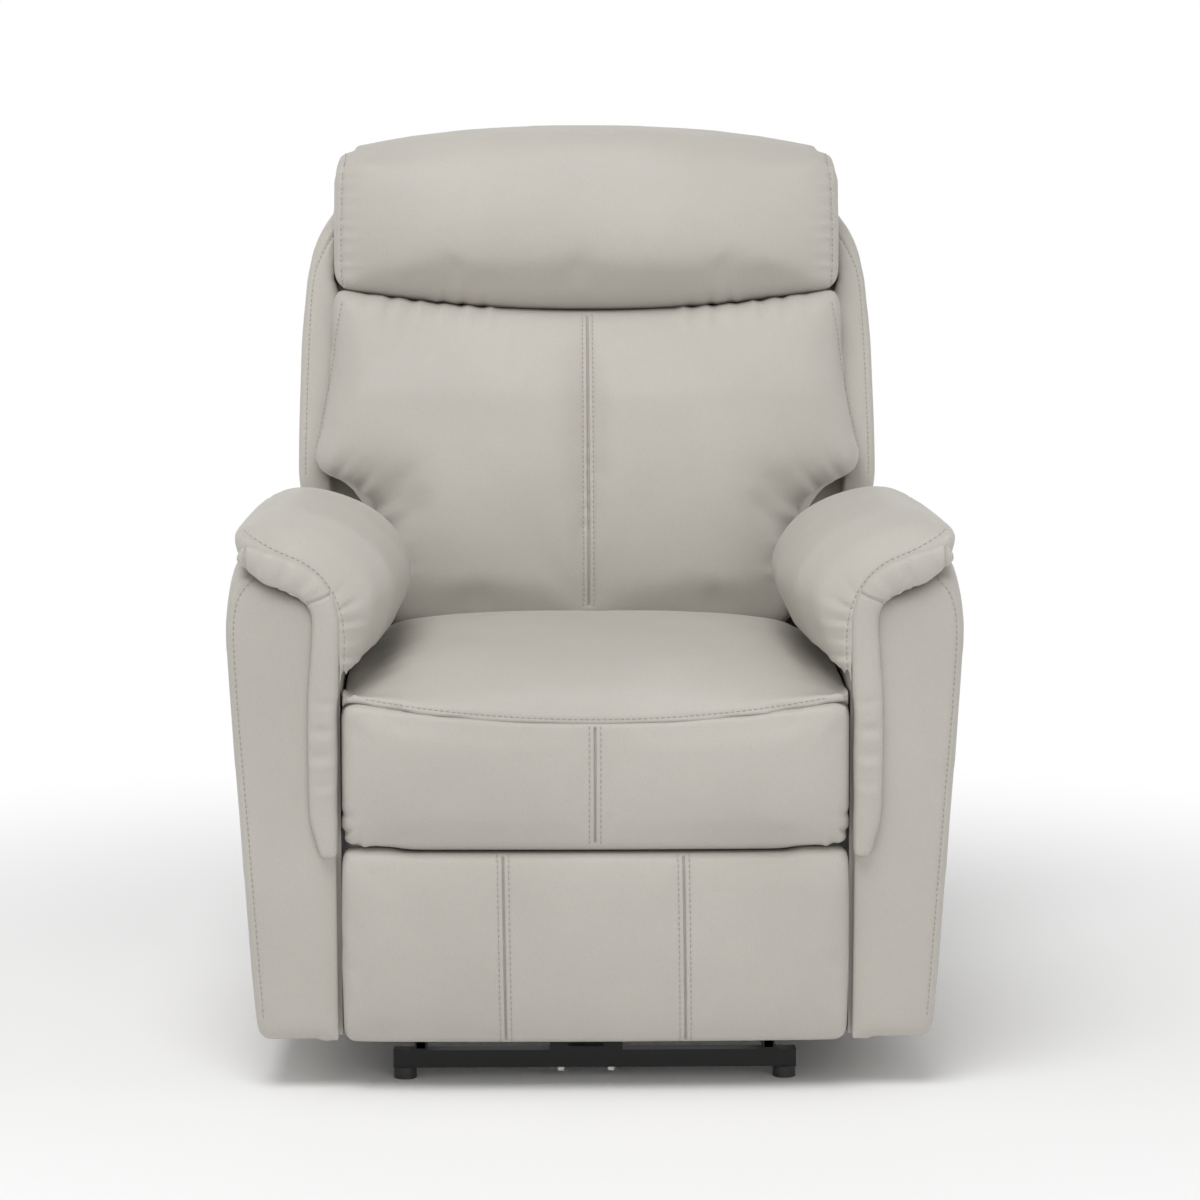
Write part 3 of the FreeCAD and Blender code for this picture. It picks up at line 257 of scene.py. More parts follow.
def inflate(piece, pressure, cap, free, pinned=None, slack=0.0):
    start = toMm(piece)
    mod = piece.modifiers.new("air", "CLOTH")
    cloth = mod.settings
    if pinned is not None:
        held = np.nonzero(pinned(start))[0]
        piece.vertex_groups.new(name="held").add(held.tolist(), 1.0, "REPLACE")
        cloth.vertex_group_mass = "held"
    cloth.quality = clothSettings["quality"]
    cloth.mass = clothSettings["mass"]
    cloth.tension_stiffness = cloth.compression_stiffness = clothSettings["stretch"]
    cloth.shear_stiffness = clothSettings["shear"]
    cloth.bending_stiffness = clothSettings["bending"]
    cloth.shrink_min = -slack
    cloth.use_pressure = True
    cloth.uniform_pressure_force = pressure
    cloth.effector_weights.gravity = 0
    mod.collision_settings.use_collision = False
    mod.point_cache.frame_start = 1
    mod.point_cache.frame_end = clothSettings["frames"]
    for number in range(1, clothSettings["frames"] + 1):
        scene.frame_set(number)
    settle(piece)
    scene.frame_set(1)
    moved = toMm(piece) - start
    length = np.linalg.norm(moved, axis=1, keepdims=True) + tiny
    moved *= cap * np.tanh(length / cap) / length
    movePoints(piece, start + moved * free(start)[:, None])
    piece.vertex_groups.clear()
    print("air in", piece.name, "moved up to", round(float(np.max(np.linalg.norm(moved, axis=1))), 1), "mm")


# Even faces, air where the piece is free to swell, smoothing and one subdivision
def softForm(piece, settings, free=None, pinned=None):
    remesh(piece, settings["voxel"])
    if free is not None:
        inflate(piece, settings["pressure"], settings["cap"], free, pinned, settings.get("slack", 0.0))
    relax(piece, settings["relax"])
    if "span" in settings:
        fit(piece, "z", *settings["span"])
    finer(piece)


# More faces along a seam, on the side that faces front
def refine(piece, line, reach, facing=0.2):
    work = bmesh.new()
    work.from_mesh(piece.data)
    work.faces.ensure_lookup_table()
    centres = np.array([f.calc_center_median() for f in work.faces]) * 1000
    toFront = np.array([f.normal.y for f in work.faces]) < facing
    near = (lineDistance(centres[:, [0, 2]], line) < reach) & toFront
    edges = {e for i in np.nonzero(near)[0] for e in work.faces[i].edges}
    bmesh.ops.subdivide_edges(work, edges=list(edges), cuts=1, use_grid_fill=True, smooth=0)
    work.to_mesh(piece.data)
    work.free()
    piece.data.shade_smooth()


def pressLine(piece, line, depth, width, facing=0.2):
    points, normals = toMm(piece), pointNormals(piece)
    away = lineDistance(points[:, [0, 2]], line)
    push = depth * np.exp(-(away / width) ** 2) * (normals[:, 1] < facing)
    movePoints(piece, points - normals * push[:, None])


# Short folds square to a seam, two waves mixed so that they don't repeat
foldMix = {"points": 40, "ends": 0.15, "lean": 0.02, "second": 0.6, "rate": 1.63, "phase": 1.7, "beat": 0.31}


def ruffle(piece, line, height, wave, reach, facing=0.1):
    line = smoothLine(line, foldMix["points"])
    points, normals = toMm(piece), pointNormals(piece)
    away, along, whole = lineSpot(points[:, [0, 2]], line)
    ends = ease(along, foldMix["ends"] * whole) * ease(whole - along, foldMix["ends"] * whole)
    turn = 2 * math.pi * along / wave
    second = np.sin(turn * foldMix["rate"] + foldMix["phase"]) * np.cos(turn * foldMix["beat"])
    folds = np.sin(turn + foldMix["lean"] * away) + foldMix["second"] * second
    push = height * folds * np.exp(-(away / reach) ** 2) * ends * (normals[:, 1] < facing)
    movePoints(piece, points + normals * push[:, None])


seamSettings = {"points": 80, "groove": 4.4, "width": 1.1, "rows": 6.2, "rowDip": 0.7, "rowWidth": 2.0,
                "plainGroove": 2.6, "plainWidth": 1.9, "dipWidth": 2.4, "rowStep": 4, "threadLift": 0.2,
                "finerWithin": (14, 9), "plainWithin": (9, 6), "rowWithin": 8}


# A row of stitches: a front view line laid on a piece
def stitchRow(body, piece, line):
    line = np.array(line, float)
    run = float(np.sum(np.linalg.norm(np.diff(line, axis=0), axis=1)))
    line = smoothLine(line, max(3, int(run / seamSettings["rowStep"])))
    tree = BVHTree.FromPolygons([v.co for v in piece.data.vertices],
                                [p.vertices for p in piece.data.polygons])
    laid = []
    for x, z in line:
        hit, normal = tree.ray_cast(Vector((x / 1000, -1, z / 1000)), Vector((0, 1, 0)))[:2]
        if hit:
            laid.append(hit + normal * seamSettings["threadLift"] / 1000)
    if len(laid) > 2:
        stitchRows.setdefault(body, []).append(laid)


def besideLine(line, offset):
    line = np.array(line, float)
    ahead = np.gradient(line, axis=0)
    side = np.stack([ahead[:, 1], -ahead[:, 0]], 1)
    return line + side / (np.linalg.norm(side, axis=1, keepdims=True) + tiny) * offset


# Two sewn panels: a groove with a row of stitches each side
def doubleSeam(body, piece, line):
    line = smoothLine(line, seamSettings["points"])
    for reach in seamSettings["finerWithin"]:
        refine(piece, line, reach)
    pressLine(piece, line, seamSettings["groove"], seamSettings["width"])
    for side in (-1, 1):
        row = besideLine(line, side * seamSettings["rows"])
        pressLine(piece, row, seamSettings["rowDip"], seamSettings["rowWidth"])
        stitchRow(body, piece, row)


# A plain seam: a groove alone
def plainSeam(piece, line):
    line = smoothLine(line, seamSettings["points"])
    for reach in seamSettings["plainWithin"]:
        refine(piece, line, reach)
    pressLine(piece, line, seamSettings["plainGroove"], seamSettings["plainWidth"])


def topStitch(body, piece, line, dip=0.8):
    line = smoothLine(line, seamSettings["points"])
    refine(piece, line, seamSettings["rowWithin"])
    pressLine(piece, line, dip, seamSettings["dipWidth"])
    stitchRow(body, piece, line)


# The plane behind the back's padding, which leans
backPlane = {"behind": 610, "above": 474, "lean": 0.28675}


def backLine(z):
    return backPlane["behind"] + (np.asarray(z, float) - backPlane["above"]) * backPlane["lean"]


def mirrorPiece(piece, name):
    other = bpy.data.objects.new(name, piece.data.copy())
    scene.collection.objects.link(other)
    points = toMm(other)
    points[:, 0] *= -1
    movePoints(other, points)
    other.data.flip_normals()
    return other


# Finishes
def newFinish(name):
    finish = bpy.data.materials.new(name)
    finish.use_nodes = True
    tree = finish.node_tree
    return finish, tree.nodes, tree.links, tree.nodes["Principled BSDF"]


def addNode(nodes, kind, **values):
    made = nodes.new(kind)
    for key, value in values.items():
        if hasattr(made, key):
            setattr(made, key, value)
        else:
            made.inputs[key.replace("_", " ")].default_value = value
    return made


def ramp(nodes, stops):
    made = nodes.new("ShaderNodeValToRGB")
    made.color_ramp.elements[0].position, made.color_ramp.elements[0].color = stops[0]
    made.color_ramp.elements[1].position, made.color_ramp.elements[1].color = stops[-1]
    for position, color in stops[1:-1]:
        made.color_ramp.elements.new(position).color = color
    return made


leatherSettings = {"pale": (0.515, 0.491, 0.447, 1), "deep": (0.477, 0.455, 0.413, 1),
                   "pore": (0.86, 0.85, 0.84, 1), "grain": 620, "creases": 95, "gloss": 0.38}
woodTones = [(0.3, (0.36, 0.24, 0.13, 1)), (0.7, (0.58, 0.43, 0.27, 1))]


def leatherFinish():
    finish, nodes, links, shader = newFinish("greyLeather")
    coords = nodes.new("ShaderNodeTexCoord")
    clouds = addNode(nodes, "ShaderNodeTexNoise", Scale=5.0, Detail=4.0)
    fine = addNode(nodes, "ShaderNodeTexNoise", Scale=leatherSettings["creases"], Detail=6.0)
    cells = addNode(nodes, "ShaderNodeTexVoronoi", Scale=leatherSettings["grain"],
                    feature="DISTANCE_TO_EDGE")
    for texture in (clouds, fine, cells):
        links.new(coords.outputs["Object"], texture.inputs["Vector"])
    tone = ramp(nodes, [(0.35, leatherSettings["deep"]), (0.65, leatherSettings["pale"])])
    links.new(clouds.outputs["Fac"], tone.inputs["Fac"])
    pores = ramp(nodes, [(0.0, leatherSettings["pore"]), (0.12, (1, 1, 1, 1))])
    links.new(cells.outputs["Distance"], pores.inputs["Fac"])
    mix = addNode(nodes, "ShaderNodeMix", data_type="RGBA", blend_type="MULTIPLY")
    mix.inputs["Factor"].default_value = 0.8
    links.new(tone.outputs["Color"], mix.inputs["A"])
    links.new(pores.outputs["Color"], mix.inputs["B"])
    links.new(mix.outputs["Result"], shader.inputs["Base Color"])
    rough = addNode(nodes, "ShaderNodeMapRange", To_Min=0.42, To_Max=0.58)
    links.new(fine.outputs["Fac"], rough.inputs["Value"])
    links.new(rough.outputs["Result"], shader.inputs["Roughness"])
    height = addNode(nodes, "ShaderNodeMath", operation="MULTIPLY_ADD")
    height.inputs[1].default_value = 1.4
    links.new(cells.outputs["Distance"], height.inputs[0])
    links.new(fine.outputs["Fac"], height.inputs[2])
    bump = addNode(nodes, "ShaderNodeBump", Strength=0.22, Distance=0.0006)
    links.new(height.outputs["Value"], bump.inputs["Height"])
    links.new(bump.outputs["Normal"], shader.inputs["Normal"])
    shader.inputs["Specular IOR Level"].default_value = leatherSettings["gloss"]
    return finish


def speckleFinish(name, dark, pale, scale, rough, metallic=0.0, gloss=0.5):
    finish, nodes, links, shader = newFinish(name)
    coords = nodes.new("ShaderNodeTexCoord")
    speck = addNode(nodes, "ShaderNodeTexNoise", Scale=scale, Detail=5.0)
    links.new(coords.outputs["Object"], speck.inputs["Vector"])
    tone = ramp(nodes, [(0.35, dark), (0.65, pale)])
    links.new(speck.outputs["Fac"], tone.inputs["Fac"])
    links.new(tone.outputs["Color"], shader.inputs["Base Color"])
    shine = addNode(nodes, "ShaderNodeMapRange", To_Min=rough[0], To_Max=rough[1])
    links.new(speck.outputs["Fac"], shine.inputs["Value"])
    links.new(shine.outputs["Result"], shader.inputs["Roughness"])
    bump = addNode(nodes, "ShaderNodeBump", Strength=0.3, Distance=0.0002)
    links.new(speck.outputs["Fac"], bump.inputs["Height"])
    links.new(bump.outputs["Normal"], shader.inputs["Normal"])
    shader.inputs["Metallic"].default_value = metallic
    shader.inputs["Specular IOR Level"].default_value = gloss
    return finish


def plywoodFinish():
    finish, nodes, links, shader = newFinish("plywood")
    coords = nodes.new("ShaderNodeTexCoord")
    stretch = addNode(nodes, "ShaderNodeMapping")
    stretch.inputs["Scale"].default_value = (30, 3, 30)
    grain = addNode(nodes, "ShaderNodeTexNoise", Scale=6.0, Detail=8.0, Distortion=0.6)
    links.new(coords.outputs["Object"], stretch.inputs["Vector"])
    links.new(stretch.outputs["Vector"], grain.inputs["Vector"])
    tone = ramp(nodes, woodTones)
    links.new(grain.outputs["Fac"], tone.inputs["Fac"])
    links.new(tone.outputs["Color"], shader.inputs["Base Color"])
    bump = addNode(nodes, "ShaderNodeBump", Strength=0.25, Distance=0.0004)
    links.new(grain.outputs["Fac"], bump.inputs["Height"])
    links.new(bump.outputs["Normal"], shader.inputs["Normal"])
    shader.inputs["Roughness"].default_value = 0.62
    return finish


# Leather pulled over a board, bare wood behind a limit
def wrappedFinish(name, limit):
    finish = leather.copy()
    finish.name = name
    nodes, links = finish.node_tree.nodes, finish.node_tree.links
    shader = nodes["Principled BSDF"]
    coords = nodes.new("ShaderNodeTexCoord")
    place = nodes.new("ShaderNodeSeparateXYZ")
    bare = addNode(nodes, "ShaderNodeMath", operation="GREATER_THAN")
    bare.inputs[1].default_value = limit
    grain = addNode(nodes, "ShaderNodeTexNoise", Scale=40.0, Detail=8.0)
    tone = ramp(nodes, woodTones)
    mix = addNode(nodes, "ShaderNodeMix", data_type="RGBA")
    links.new(coords.outputs["Object"], place.inputs["Vector"])
    links.new(coords.outputs["Object"], grain.inputs["Vector"])
    links.new(place.outputs["Y"], bare.inputs[0])
    links.new(grain.outputs["Fac"], tone.inputs["Fac"])
    links.new(bare.outputs["Value"], mix.inputs[0])
    links.new(shader.inputs["Base Color"].links[0].from_socket, mix.inputs[6])
    links.new(tone.outputs["Color"], mix.inputs[7])
    links.new(mix.outputs[2], shader.inputs["Base Color"])
    return finish


def wovenFinish():
    finish, nodes, links, shader = newFinish("blackCloth")
    coords = nodes.new("ShaderNodeTexCoord")
    warp = addNode(nodes, "ShaderNodeTexWave", Scale=260.0, Distortion=0.4, bands_direction="X")
    weft = addNode(nodes, "ShaderNodeTexWave", Scale=260.0, Distortion=0.4, bands_direction="Z")
    for texture in (warp, weft):
        links.new(coords.outputs["Object"], texture.inputs["Vector"])
    both = addNode(nodes, "ShaderNodeMath", operation="MULTIPLY")
    links.new(warp.outputs["Fac"], both.inputs[0])
    links.new(weft.outputs["Fac"], both.inputs[1])
    tone = ramp(nodes, [(0.1, (0.012, 0.012, 0.012, 1)), (0.9, (0.045, 0.045, 0.045, 1))])
    links.new(both.outputs["Value"], tone.inputs["Fac"])
    links.new(tone.outputs["Color"], shader.inputs["Base Color"])
    bump = addNode(nodes, "ShaderNodeBump", Strength=0.5, Distance=0.0004)
    links.new(both.outputs["Value"], bump.inputs["Height"])
    links.new(bump.outputs["Normal"], shader.inputs["Normal"])
    shader.inputs["Roughness"].default_value = 0.9
    return finish


leather = leatherFinish()
thread = speckleFinish("thread", (0.31, 0.295, 0.26, 1), (0.4, 0.38, 0.34, 1), 900, (0.55, 0.7))
blackSteel = speckleFinish("powderCoat", (0.007, 0.007, 0.007, 1), (0.013, 0.0125, 0.012, 1), 850,
                           (0.45, 0.6), gloss=0.3)
zinc = speckleFinish("zincPlate", (0.5, 0.5, 0.49, 1), (0.66, 0.66, 0.64, 1), 240, (0.22, 0.42),
                     metallic=1.0)
blackPlastic = speckleFinish("mouldedPlastic", (0.014, 0.014, 0.014, 1), (0.024, 0.024, 0.024, 1), 700,
                             (0.45, 0.62))
finishes = {"upholstery": leather, "frame_wood": plywoodFinish(), "black_cloth": wovenFinish(),
            "black_plastic": blackPlastic, "plain_steel": zinc, "black_steel": blackSteel}
boardLimit = 0.0625 - halfDepth / 1000      # the footrest board is bare wood behind this
covered = {"arm_frames": leather, "footrest_board": wrappedFinish("coveredBoard", boardLimit),
           "back_stiles": finishes["black_cloth"], "back_rails": finishes["black_cloth"]}
slotOf = {part["node"]: part["material_slot"] for part in frame["record"]["subparts"]}
for nodeName, shown in frame["nodes"].items():
    for holder in shown.material_slots:
        holder.material = covered.get(nodeName, finishes[slotOf[nodeName]])
print("finishes on", len(frame["nodes"]), "nodes")


def finishSoft(piece, body, nodes):
    piece.data.materials.clear()
    piece.data.materials.append(leather)
    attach(piece, body)
    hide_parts(*nodes)


# Headrest roll
headrest = {"half": 321, "side": 26, "top": 1079, "topFall": 34, "low": 845, "lowRise": 24, "soften": 0.25,
            "voxel": 7, "pressure": 3.5, "cap": 12, "relax": 9, "fill": 0.8}
headSide = [(307, 1040), (309.5, 1000), (310.5, 950), (310.5, 900), (309, 876)]
headCorner = [(299, 1049), (326, 1041)]
headTuck = [(110, 849), (160, 852), (215, 858)]


def headrestSection(x):
    u = abs(x) / headrest["half"]
    low = headrest["low"] + headrest["lowRise"] * u ** 2
    top = headrest["top"] - headrest["topFall"] * u ** 2.4
    soft = 1 - headrest["soften"] * u ** 3
    shape = ((low + 2, -58), (low + 34, -92 * soft), (low + 95, -104 * soft), (low + 165, -94 * soft),
             (top - 24, -72 * soft), (top, -28), (top - 12, 12), (top - 44, 14), (low + 90, -2),
             (low + 8, -4))
    return [(float(backLine(z)) + y, z) for z, y in shape]


def headrestFree(p):
    return (ease(backLine(p[:, 2]) - 8 - p[:, 1], 40) * ease(p[:, 2] - 848, 40)
            * ease(316 - np.abs(p[:, 0]), 30))


headPiece = loftPiece("headrestRoll", "x", -headrest["half"], headrest["half"], headrest["side"],
                      headrest["side"], headrestSection)
softForm(headPiece, headrest, headrestFree)
for side in (-1, 1):
    topStitch("back", headPiece, sided(headSide, side), dip=1.4)
    ruffle(headPiece, sided([(x - 9, z) for x, z in headSide], side), height=0.5, wave=17, reach=14)
    pressLine(headPiece, np.array(sided(headCorner, side)), depth=4.5, width=4.5, facing=2)
    ruffle(headPiece, sided(headTuck, side), height=0.8, wave=26, reach=16)
print("headrest roll", len(headPiece.data.polygons), "faces")

# Back cushion, one panel from the crease down to the seat
backCushion = {"edge": 40, "crown": 14, "wide": 345, "spine": (560, 740), "voxel": 7, "pressure": 4,
               "cap": 16, "slack": 0.01, "relax": 11, "fill": 0.75}
backHalf = [(0, 844), (170, 851), (285, 866), (316, 869), (323, 842), (331, 770), (344, 700), (351, 664),
            (343, 642), (312, 625), (284, 605), (264, 575), (258, 540), (256, 490), (248, 462), (200, 456),
            (0, 454)]
backOutline = smoothLine(backHalf + sided(reversed(backHalf[1:-1]), -1), 240, closed=True)
backCurve = np.polyfit([450, 557, 650, 740, 845], [513, 534, 568, 602, 637], 3)     # front, by height
backSeam = np.array([(0, 838), (0, 486)], float)
backSide = [(309, 852), (316, 815), (324, 760), (335, 706), (341.5, 668), (336, 649), (310, 632)]
backFolds = [(338, 650), (304, 622), (272, 590), (258, 545), (254, 505)]
backTucks = [(300, 860), (240, 855), (150, 846), (90, 842)]


def backFront(x, z, depth):
    base = np.polyval(backCurve, z)
    bulge = np.sin(math.pi * ease(z - 470, 380))
    crown = backCushion["crown"] * (1 - ease(np.abs(x), backCushion["wide"]) ** 2) * bulge
    edge = np.interp(z, [475, 590, 800, 850], [14, backCushion["edge"], backCushion["edge"], 28])
    share = 1 - ease(depth, edge)
    return base - crown + edge * (1 - np.sqrt(1 - share ** 2))


def backRear(x, z, depth):
    whole = backLine(z) - 3
    thin = np.polyval(backCurve, z) + 56
    edge = np.clip(1 - depth / 34, 0, 1) * ease(np.abs(x) - 230, 40) * ease(z - 600, 30)
    return whole - (whole - thin) * np.clip(edge * 1.6, 0, 1)


def backFree(p):
    return (ease(backLine(p[:, 2]) - 10 - p[:, 1], 40) * ease(850 - p[:, 2], 110)
            * ease(p[:, 2] - 462, 45))


def backHeld(p):
    return (lineDistance(p[:, [0, 2]], backSeam) < 5) | (p[:, 1] > backLine(p[:, 2]) - 14)


backPiece = outlinePad("backCushion", backOutline, backCushion["spine"], backFront, backRear)
softForm(backPiece, backCushion, backFree, backHeld)
for side in (-1, 1):
    ruffle(backPiece, sided(backFolds, side), height=1.7, wave=31, reach=36, facing=-0.5)
    ruffle(backPiece, sided(backTucks, side), height=1.0, wave=29, reach=18)
    topStitch("back", backPiece, sided(backSide, side), dip=1.0)
doubleSeam("back", backPiece, backSeam)
print("back cushion", len(backPiece.data.polygons), "faces")

# Side wings of the back, tables by height
wing = {"low": 590, "high": 1030, "lowEdge": 16, "highEdge": 12, "depth": 112, "rearHalf": 334, "thick": 20,
        "voxel": 5, "relax": 5, "fill": 0.6}
wingOuter = {590: 356, 630: 365, 700: 365, 805: 363, 880: 357, 915: 350, 940: 341, 958: 330, 985: 311,
             1030: 292}
wingInner = {590: 318, 640: 326, 668: 328, 740: 318, 820: 307, 850: 305, 872: 321, 945: 319, 965: 290,
             1030: 272}
wingFront = {590: 16, 650: 31, 740: 24, 845: 17, 945: 12, 965: -19, 1030: -19}  # before the back's plane
wingRear = {590: 0.7, 680: 1, 900: 0.95, 968: 0.8, 1030: 0.55}                  # share of the depth
wingLine = [(321, 940), (336, 915), (348, 880), (352.5, 805), (355, 700), (355, 640)]


def wingSection(z):
    outer, inner = byHeight(z, wingOuter), byHeight(z, wingInner)
    line = float(backLine(z))
    front = line - byHeight(z, wingFront)
    rear = line + wing["depth"] * byHeight(z, wingRear)
    back = min(wing["rearHalf"], outer - wing["thick"])
    return [(inner, max(line - 4, front + 5)), (inner, front + 2), (inner + 4, front), (outer - 8, front),
            (outer - 1, front + 7), (outer, front + 26), (outer, rear - 40), (outer - 7, rear - 6),
            (back, rear - 4), (back, line + 60), (back, max(line + 12, front + 18)),
            (back - 4, max(line + 2, front + 11))]


wingRight = loftPiece("backWingRight", "z", wing["low"], wing["high"], wing["lowEdge"], wing["highEdge"],
                      wingSection, step=16, count=56)
softForm(wingRight, wing)
topStitch("back", wingRight, wingLine, dip=1.2)
wingLeft = mirrorPiece(wingRight, "backWingLeft")
stitchRow("back", wingLeft, sided(wingLine, -1))
print("wings", len(wingRight.data.polygons), "faces each")

# Rear of the back
shell = {"low": 565, "high": 1036, "edge": 14, "narrow": 0.962, "corner": 14, "voxel": 9, "relax": 4,
         "fill": 0.6}
shellHalf = {565: 297, 650: 351, 822: 351, 922: 331, 992: 311, 1034: 290}
shellRear = {565: 712, 650: 760, 822: 860, 922: 886, 992: 880, 1034: 856}
shellFront = {950: 31, 1000: 15}        # behind the back's plane


def shellSection(z):
    half = byHeight(z, shellHalf) * shell["narrow"]
    front = float(backLine(z)) + byHeight(z, shellFront)
    rear = byHeight(z, shellRear)
    middle, corner = (front + rear) / 2, half - shell["corner"]
    return [(-half, front), (0, front), (half, front), (half, middle), (corner, rear - 6),
            (half * 0.5, rear + 8), (0, rear + 11), (-half * 0.5, rear + 8), (-corner, rear - 6),
            (-half, middle)]


shellPiece = loftPiece("backShell", "z", shell["low"], shell["high"], shell["edge"], shell["edge"],
                       shellSection, count=96)
softForm(shellPiece, shell)
print("back shell", len(shellPiece.data.polygons), "faces")

# Seat cushion, rolled over at the front
seat = {"half": 280.5, "side": 13, "seam": 415, "seamRise": 27, "fall": 21, "row": 252, "rowRise": 6,
        "voxel": 7, "pressure": 4, "cap": 8, "relax": 2, "fill": 0.8}


def seamHeight(x):
    return seat["seam"] + seat["seamRise"] * (np.abs(x) / seat["half"]) ** 2


def seatSection(x):
    u = abs(x) / seat["half"]
    seam = float(seamHeight(x))
    fall = seat["fall"] * u ** 3
    back = 5 * u ** 3
    top = [(498, 474 - fall), (400, 484 - fall), (250, 487 - fall), (130, 480 - fall), (66, 466 - fall)]
    lip = [(27 + back, 448 - fall * 0.4), (11 + back, seam + 11), (5 + back, seam + 1), (10 + back, seam - 3),
           (24 + back, seam - 2), (50, seam + 1)]
    return ([(508, 332), (510, 400), (509, 460)] + top + lip
            + [(84, 430), (106, 424), (108, 350), (114, 331), (300, 331)])


def seatFree(p):
    return ease(p[:, 2] - 436, 30) * ease(500 - p[:, 1], 40) * ease(276 - np.abs(p[:, 0]), 25)


seatPiece = loftPiece("seatCushion", "x", -seat["half"], seat["half"], seat["side"], seat["side"],
                      seatSection, count=130)
softForm(seatPiece, seat, seatFree)
seatRow = [(x, float(seamHeight(x)) + seat["rowRise"]) for x in np.linspace(-seat["row"], seat["row"], 30)]
topStitch("seat", seatPiece, seatRow)
print("seat cushion", len(seatPiece.data.polygons), "faces")

# Nose panel under the seat's front seam
nose = {"half": 281.5, "side": 18, "low": 274, "voxel": 6, "pressure": 3, "cap": 8, "relax": 2, "fill": 0.8,
        "span": (272.5, seat["seam"] + seat["seamRise"] + 2)}
noseSeam = np.array([(-1, seat["seam"] - 3), (-1, 284)], float)
noseFolds = [(280, 330), (278, 290), (240, 277)]


def noseSection(x):
    u = abs(x) / nose["half"]
    seam = float(seamHeight(x))
    back = 8 * u ** 3
    low = nose["low"] + float(np.interp(abs(x), [214, 224], [0, 3.8]))     # its ends sit higher
    front = [(18 + back, seam + 3 - back), (8 + back * 0.6, seam + 0.5 - back * 0.3),
             (4 + back * 0.3, seam - 8), (back * 0.7, seam - 28), (-3 + back, seam - 52), (-4 + back, 350),
             (-2 + back, 318), (3 + back, 294), (9 + back, 280)]
    under = [(19 + back, low), (36, low), (48, nose["low"] + 4.5), (62, nose["low"] + 5),
             (88, nose["low"] + 5)]
    return front + under + [(96, 285), (98, 312), (98, 415), (70, 426), (34, seam + 6)]


def noseFree(p):
    return (ease(60 - p[:, 1], 30) * ease(p[:, 2] - 282, 24) * ease(seamHeight(p[:, 0]) - 2 - p[:, 2], 24)
            * ease(279 - np.abs(p[:, 0]), 20))


def noseHeld(p):
    return (lineDistance(p[:, [0, 2]], noseSeam) < 5) | (p[:, 1] > 60)


nosePiece = loftPiece("seatFrontPanel", "x", -nose["half"], nose["half"], nose["side"], nose["side"],
                      noseSection)
softForm(nosePiece, nose, noseFree, noseHeld)
doubleSeam("seat", nosePiece, noseSeam)
for side in (-1, 1):
    ruffle(nosePiece, sided(noseFolds, side), height=1.3, wave=21, reach=15)
print("nose panel", len(nosePiece.data.polygons), "faces")

# Footrest pad
footrest = {"half": 281.5, "side": 10, "top": 271.5, "span": (54, 275.4), "voxel": 6, "pressure": 3,
            "cap": 6, "relax": 3, "fill": 0.7}
footSeams = [np.array([(-103, 268), (-100, 58)], float), np.array([(97, 268), (100, 58)], float)]


def footrestSection(x):
    u = abs(x) / footrest["half"]
    back = 7 * u ** 4
    top = footrest["top"] + float(np.interp(abs(x), [213, 223], [0, 4]))    # follows the nose panel's step
    front = [(17 + back, top), (7 + back, 268), (2 + back, 258), (back, 240), (-1 + back, 210),
             (-2 + back, 160), (1 + back, 100), (7 + back, 68), (20 + back, 55)]
    rear = [(42, 56), (44, 80), (44, 160), (44, 236), (46, 258), (49, top - 5), (46, top)]
    return [(30, top)] + front + rear


def footFree(p):
    return ease(36 - p[:, 1], 20) * ease(268 - p[:, 2], 20)


def footHeld(p):
    return (np.minimum(*[lineDistance(p[:, [0, 2]], line) for line in footSeams]) < 5) | (p[:, 1] > 38)


footPiece = loftPiece("footrestPad", "x", -footrest["half"], footrest["half"], footrest["side"],
                      footrest["side"], footrestSection)
softForm(footPiece, footrest, footFree, footHeld)
for line in footSeams:
    doubleSeam("footrest", footPiece, line)
print("footrest pad", len(footPiece.data.polygons), "faces")

# Arm panels
armPanel = {"front": 22, "rear": 698, "edge": 14, "voxel": 8, "relax": 3, "fill": 0.5}
armEdge = [(376, 576), (392, 556), (399, 520), (396, 440), (388, 330), (379, 200), (371, 85)]


def armSection(y):
    drop = float(np.interp(y, [470, 520], [0, 66]))
    inner = float(np.interp(y, [31, 36], [284.5, 303]))
    lift = float(np.interp(y, [35, 80], [0, 13]))
    under = [(inner, 66), (inner + 3, 58), (inner + 14, 56), (350, 56), (370, 56), (379, 70)]
    outside = [(386.5, 160), (394.5, 280), (402, 390), (407.5, 480), (408.5, 525 - drop * 0.3),
               (403 + lift * 0.2, 562 + lift * 0.6 - drop * 0.8)]
    top = [(389, 585 + lift - drop), (350, 563 + lift - drop * 0.6),
           (inner + 6, 546 + lift * 0.5 - drop * 0.4)]
    return under + outside + top + [(inner, 530 - drop * 0.4), (inner, 300)]


armRight = loftPiece("armPanelRight", "y", armPanel["front"], armPanel["rear"], armPanel["edge"],
                     armPanel["edge"], armSection, step=16, count=120)
softForm(armRight, armPanel)
topStitch("base", armRight, armEdge, dip=1.2)
armLeft = mirrorPiece(armRight, "armPanelLeft")
print("arm panels", len(armRight.data.polygons), "faces each")

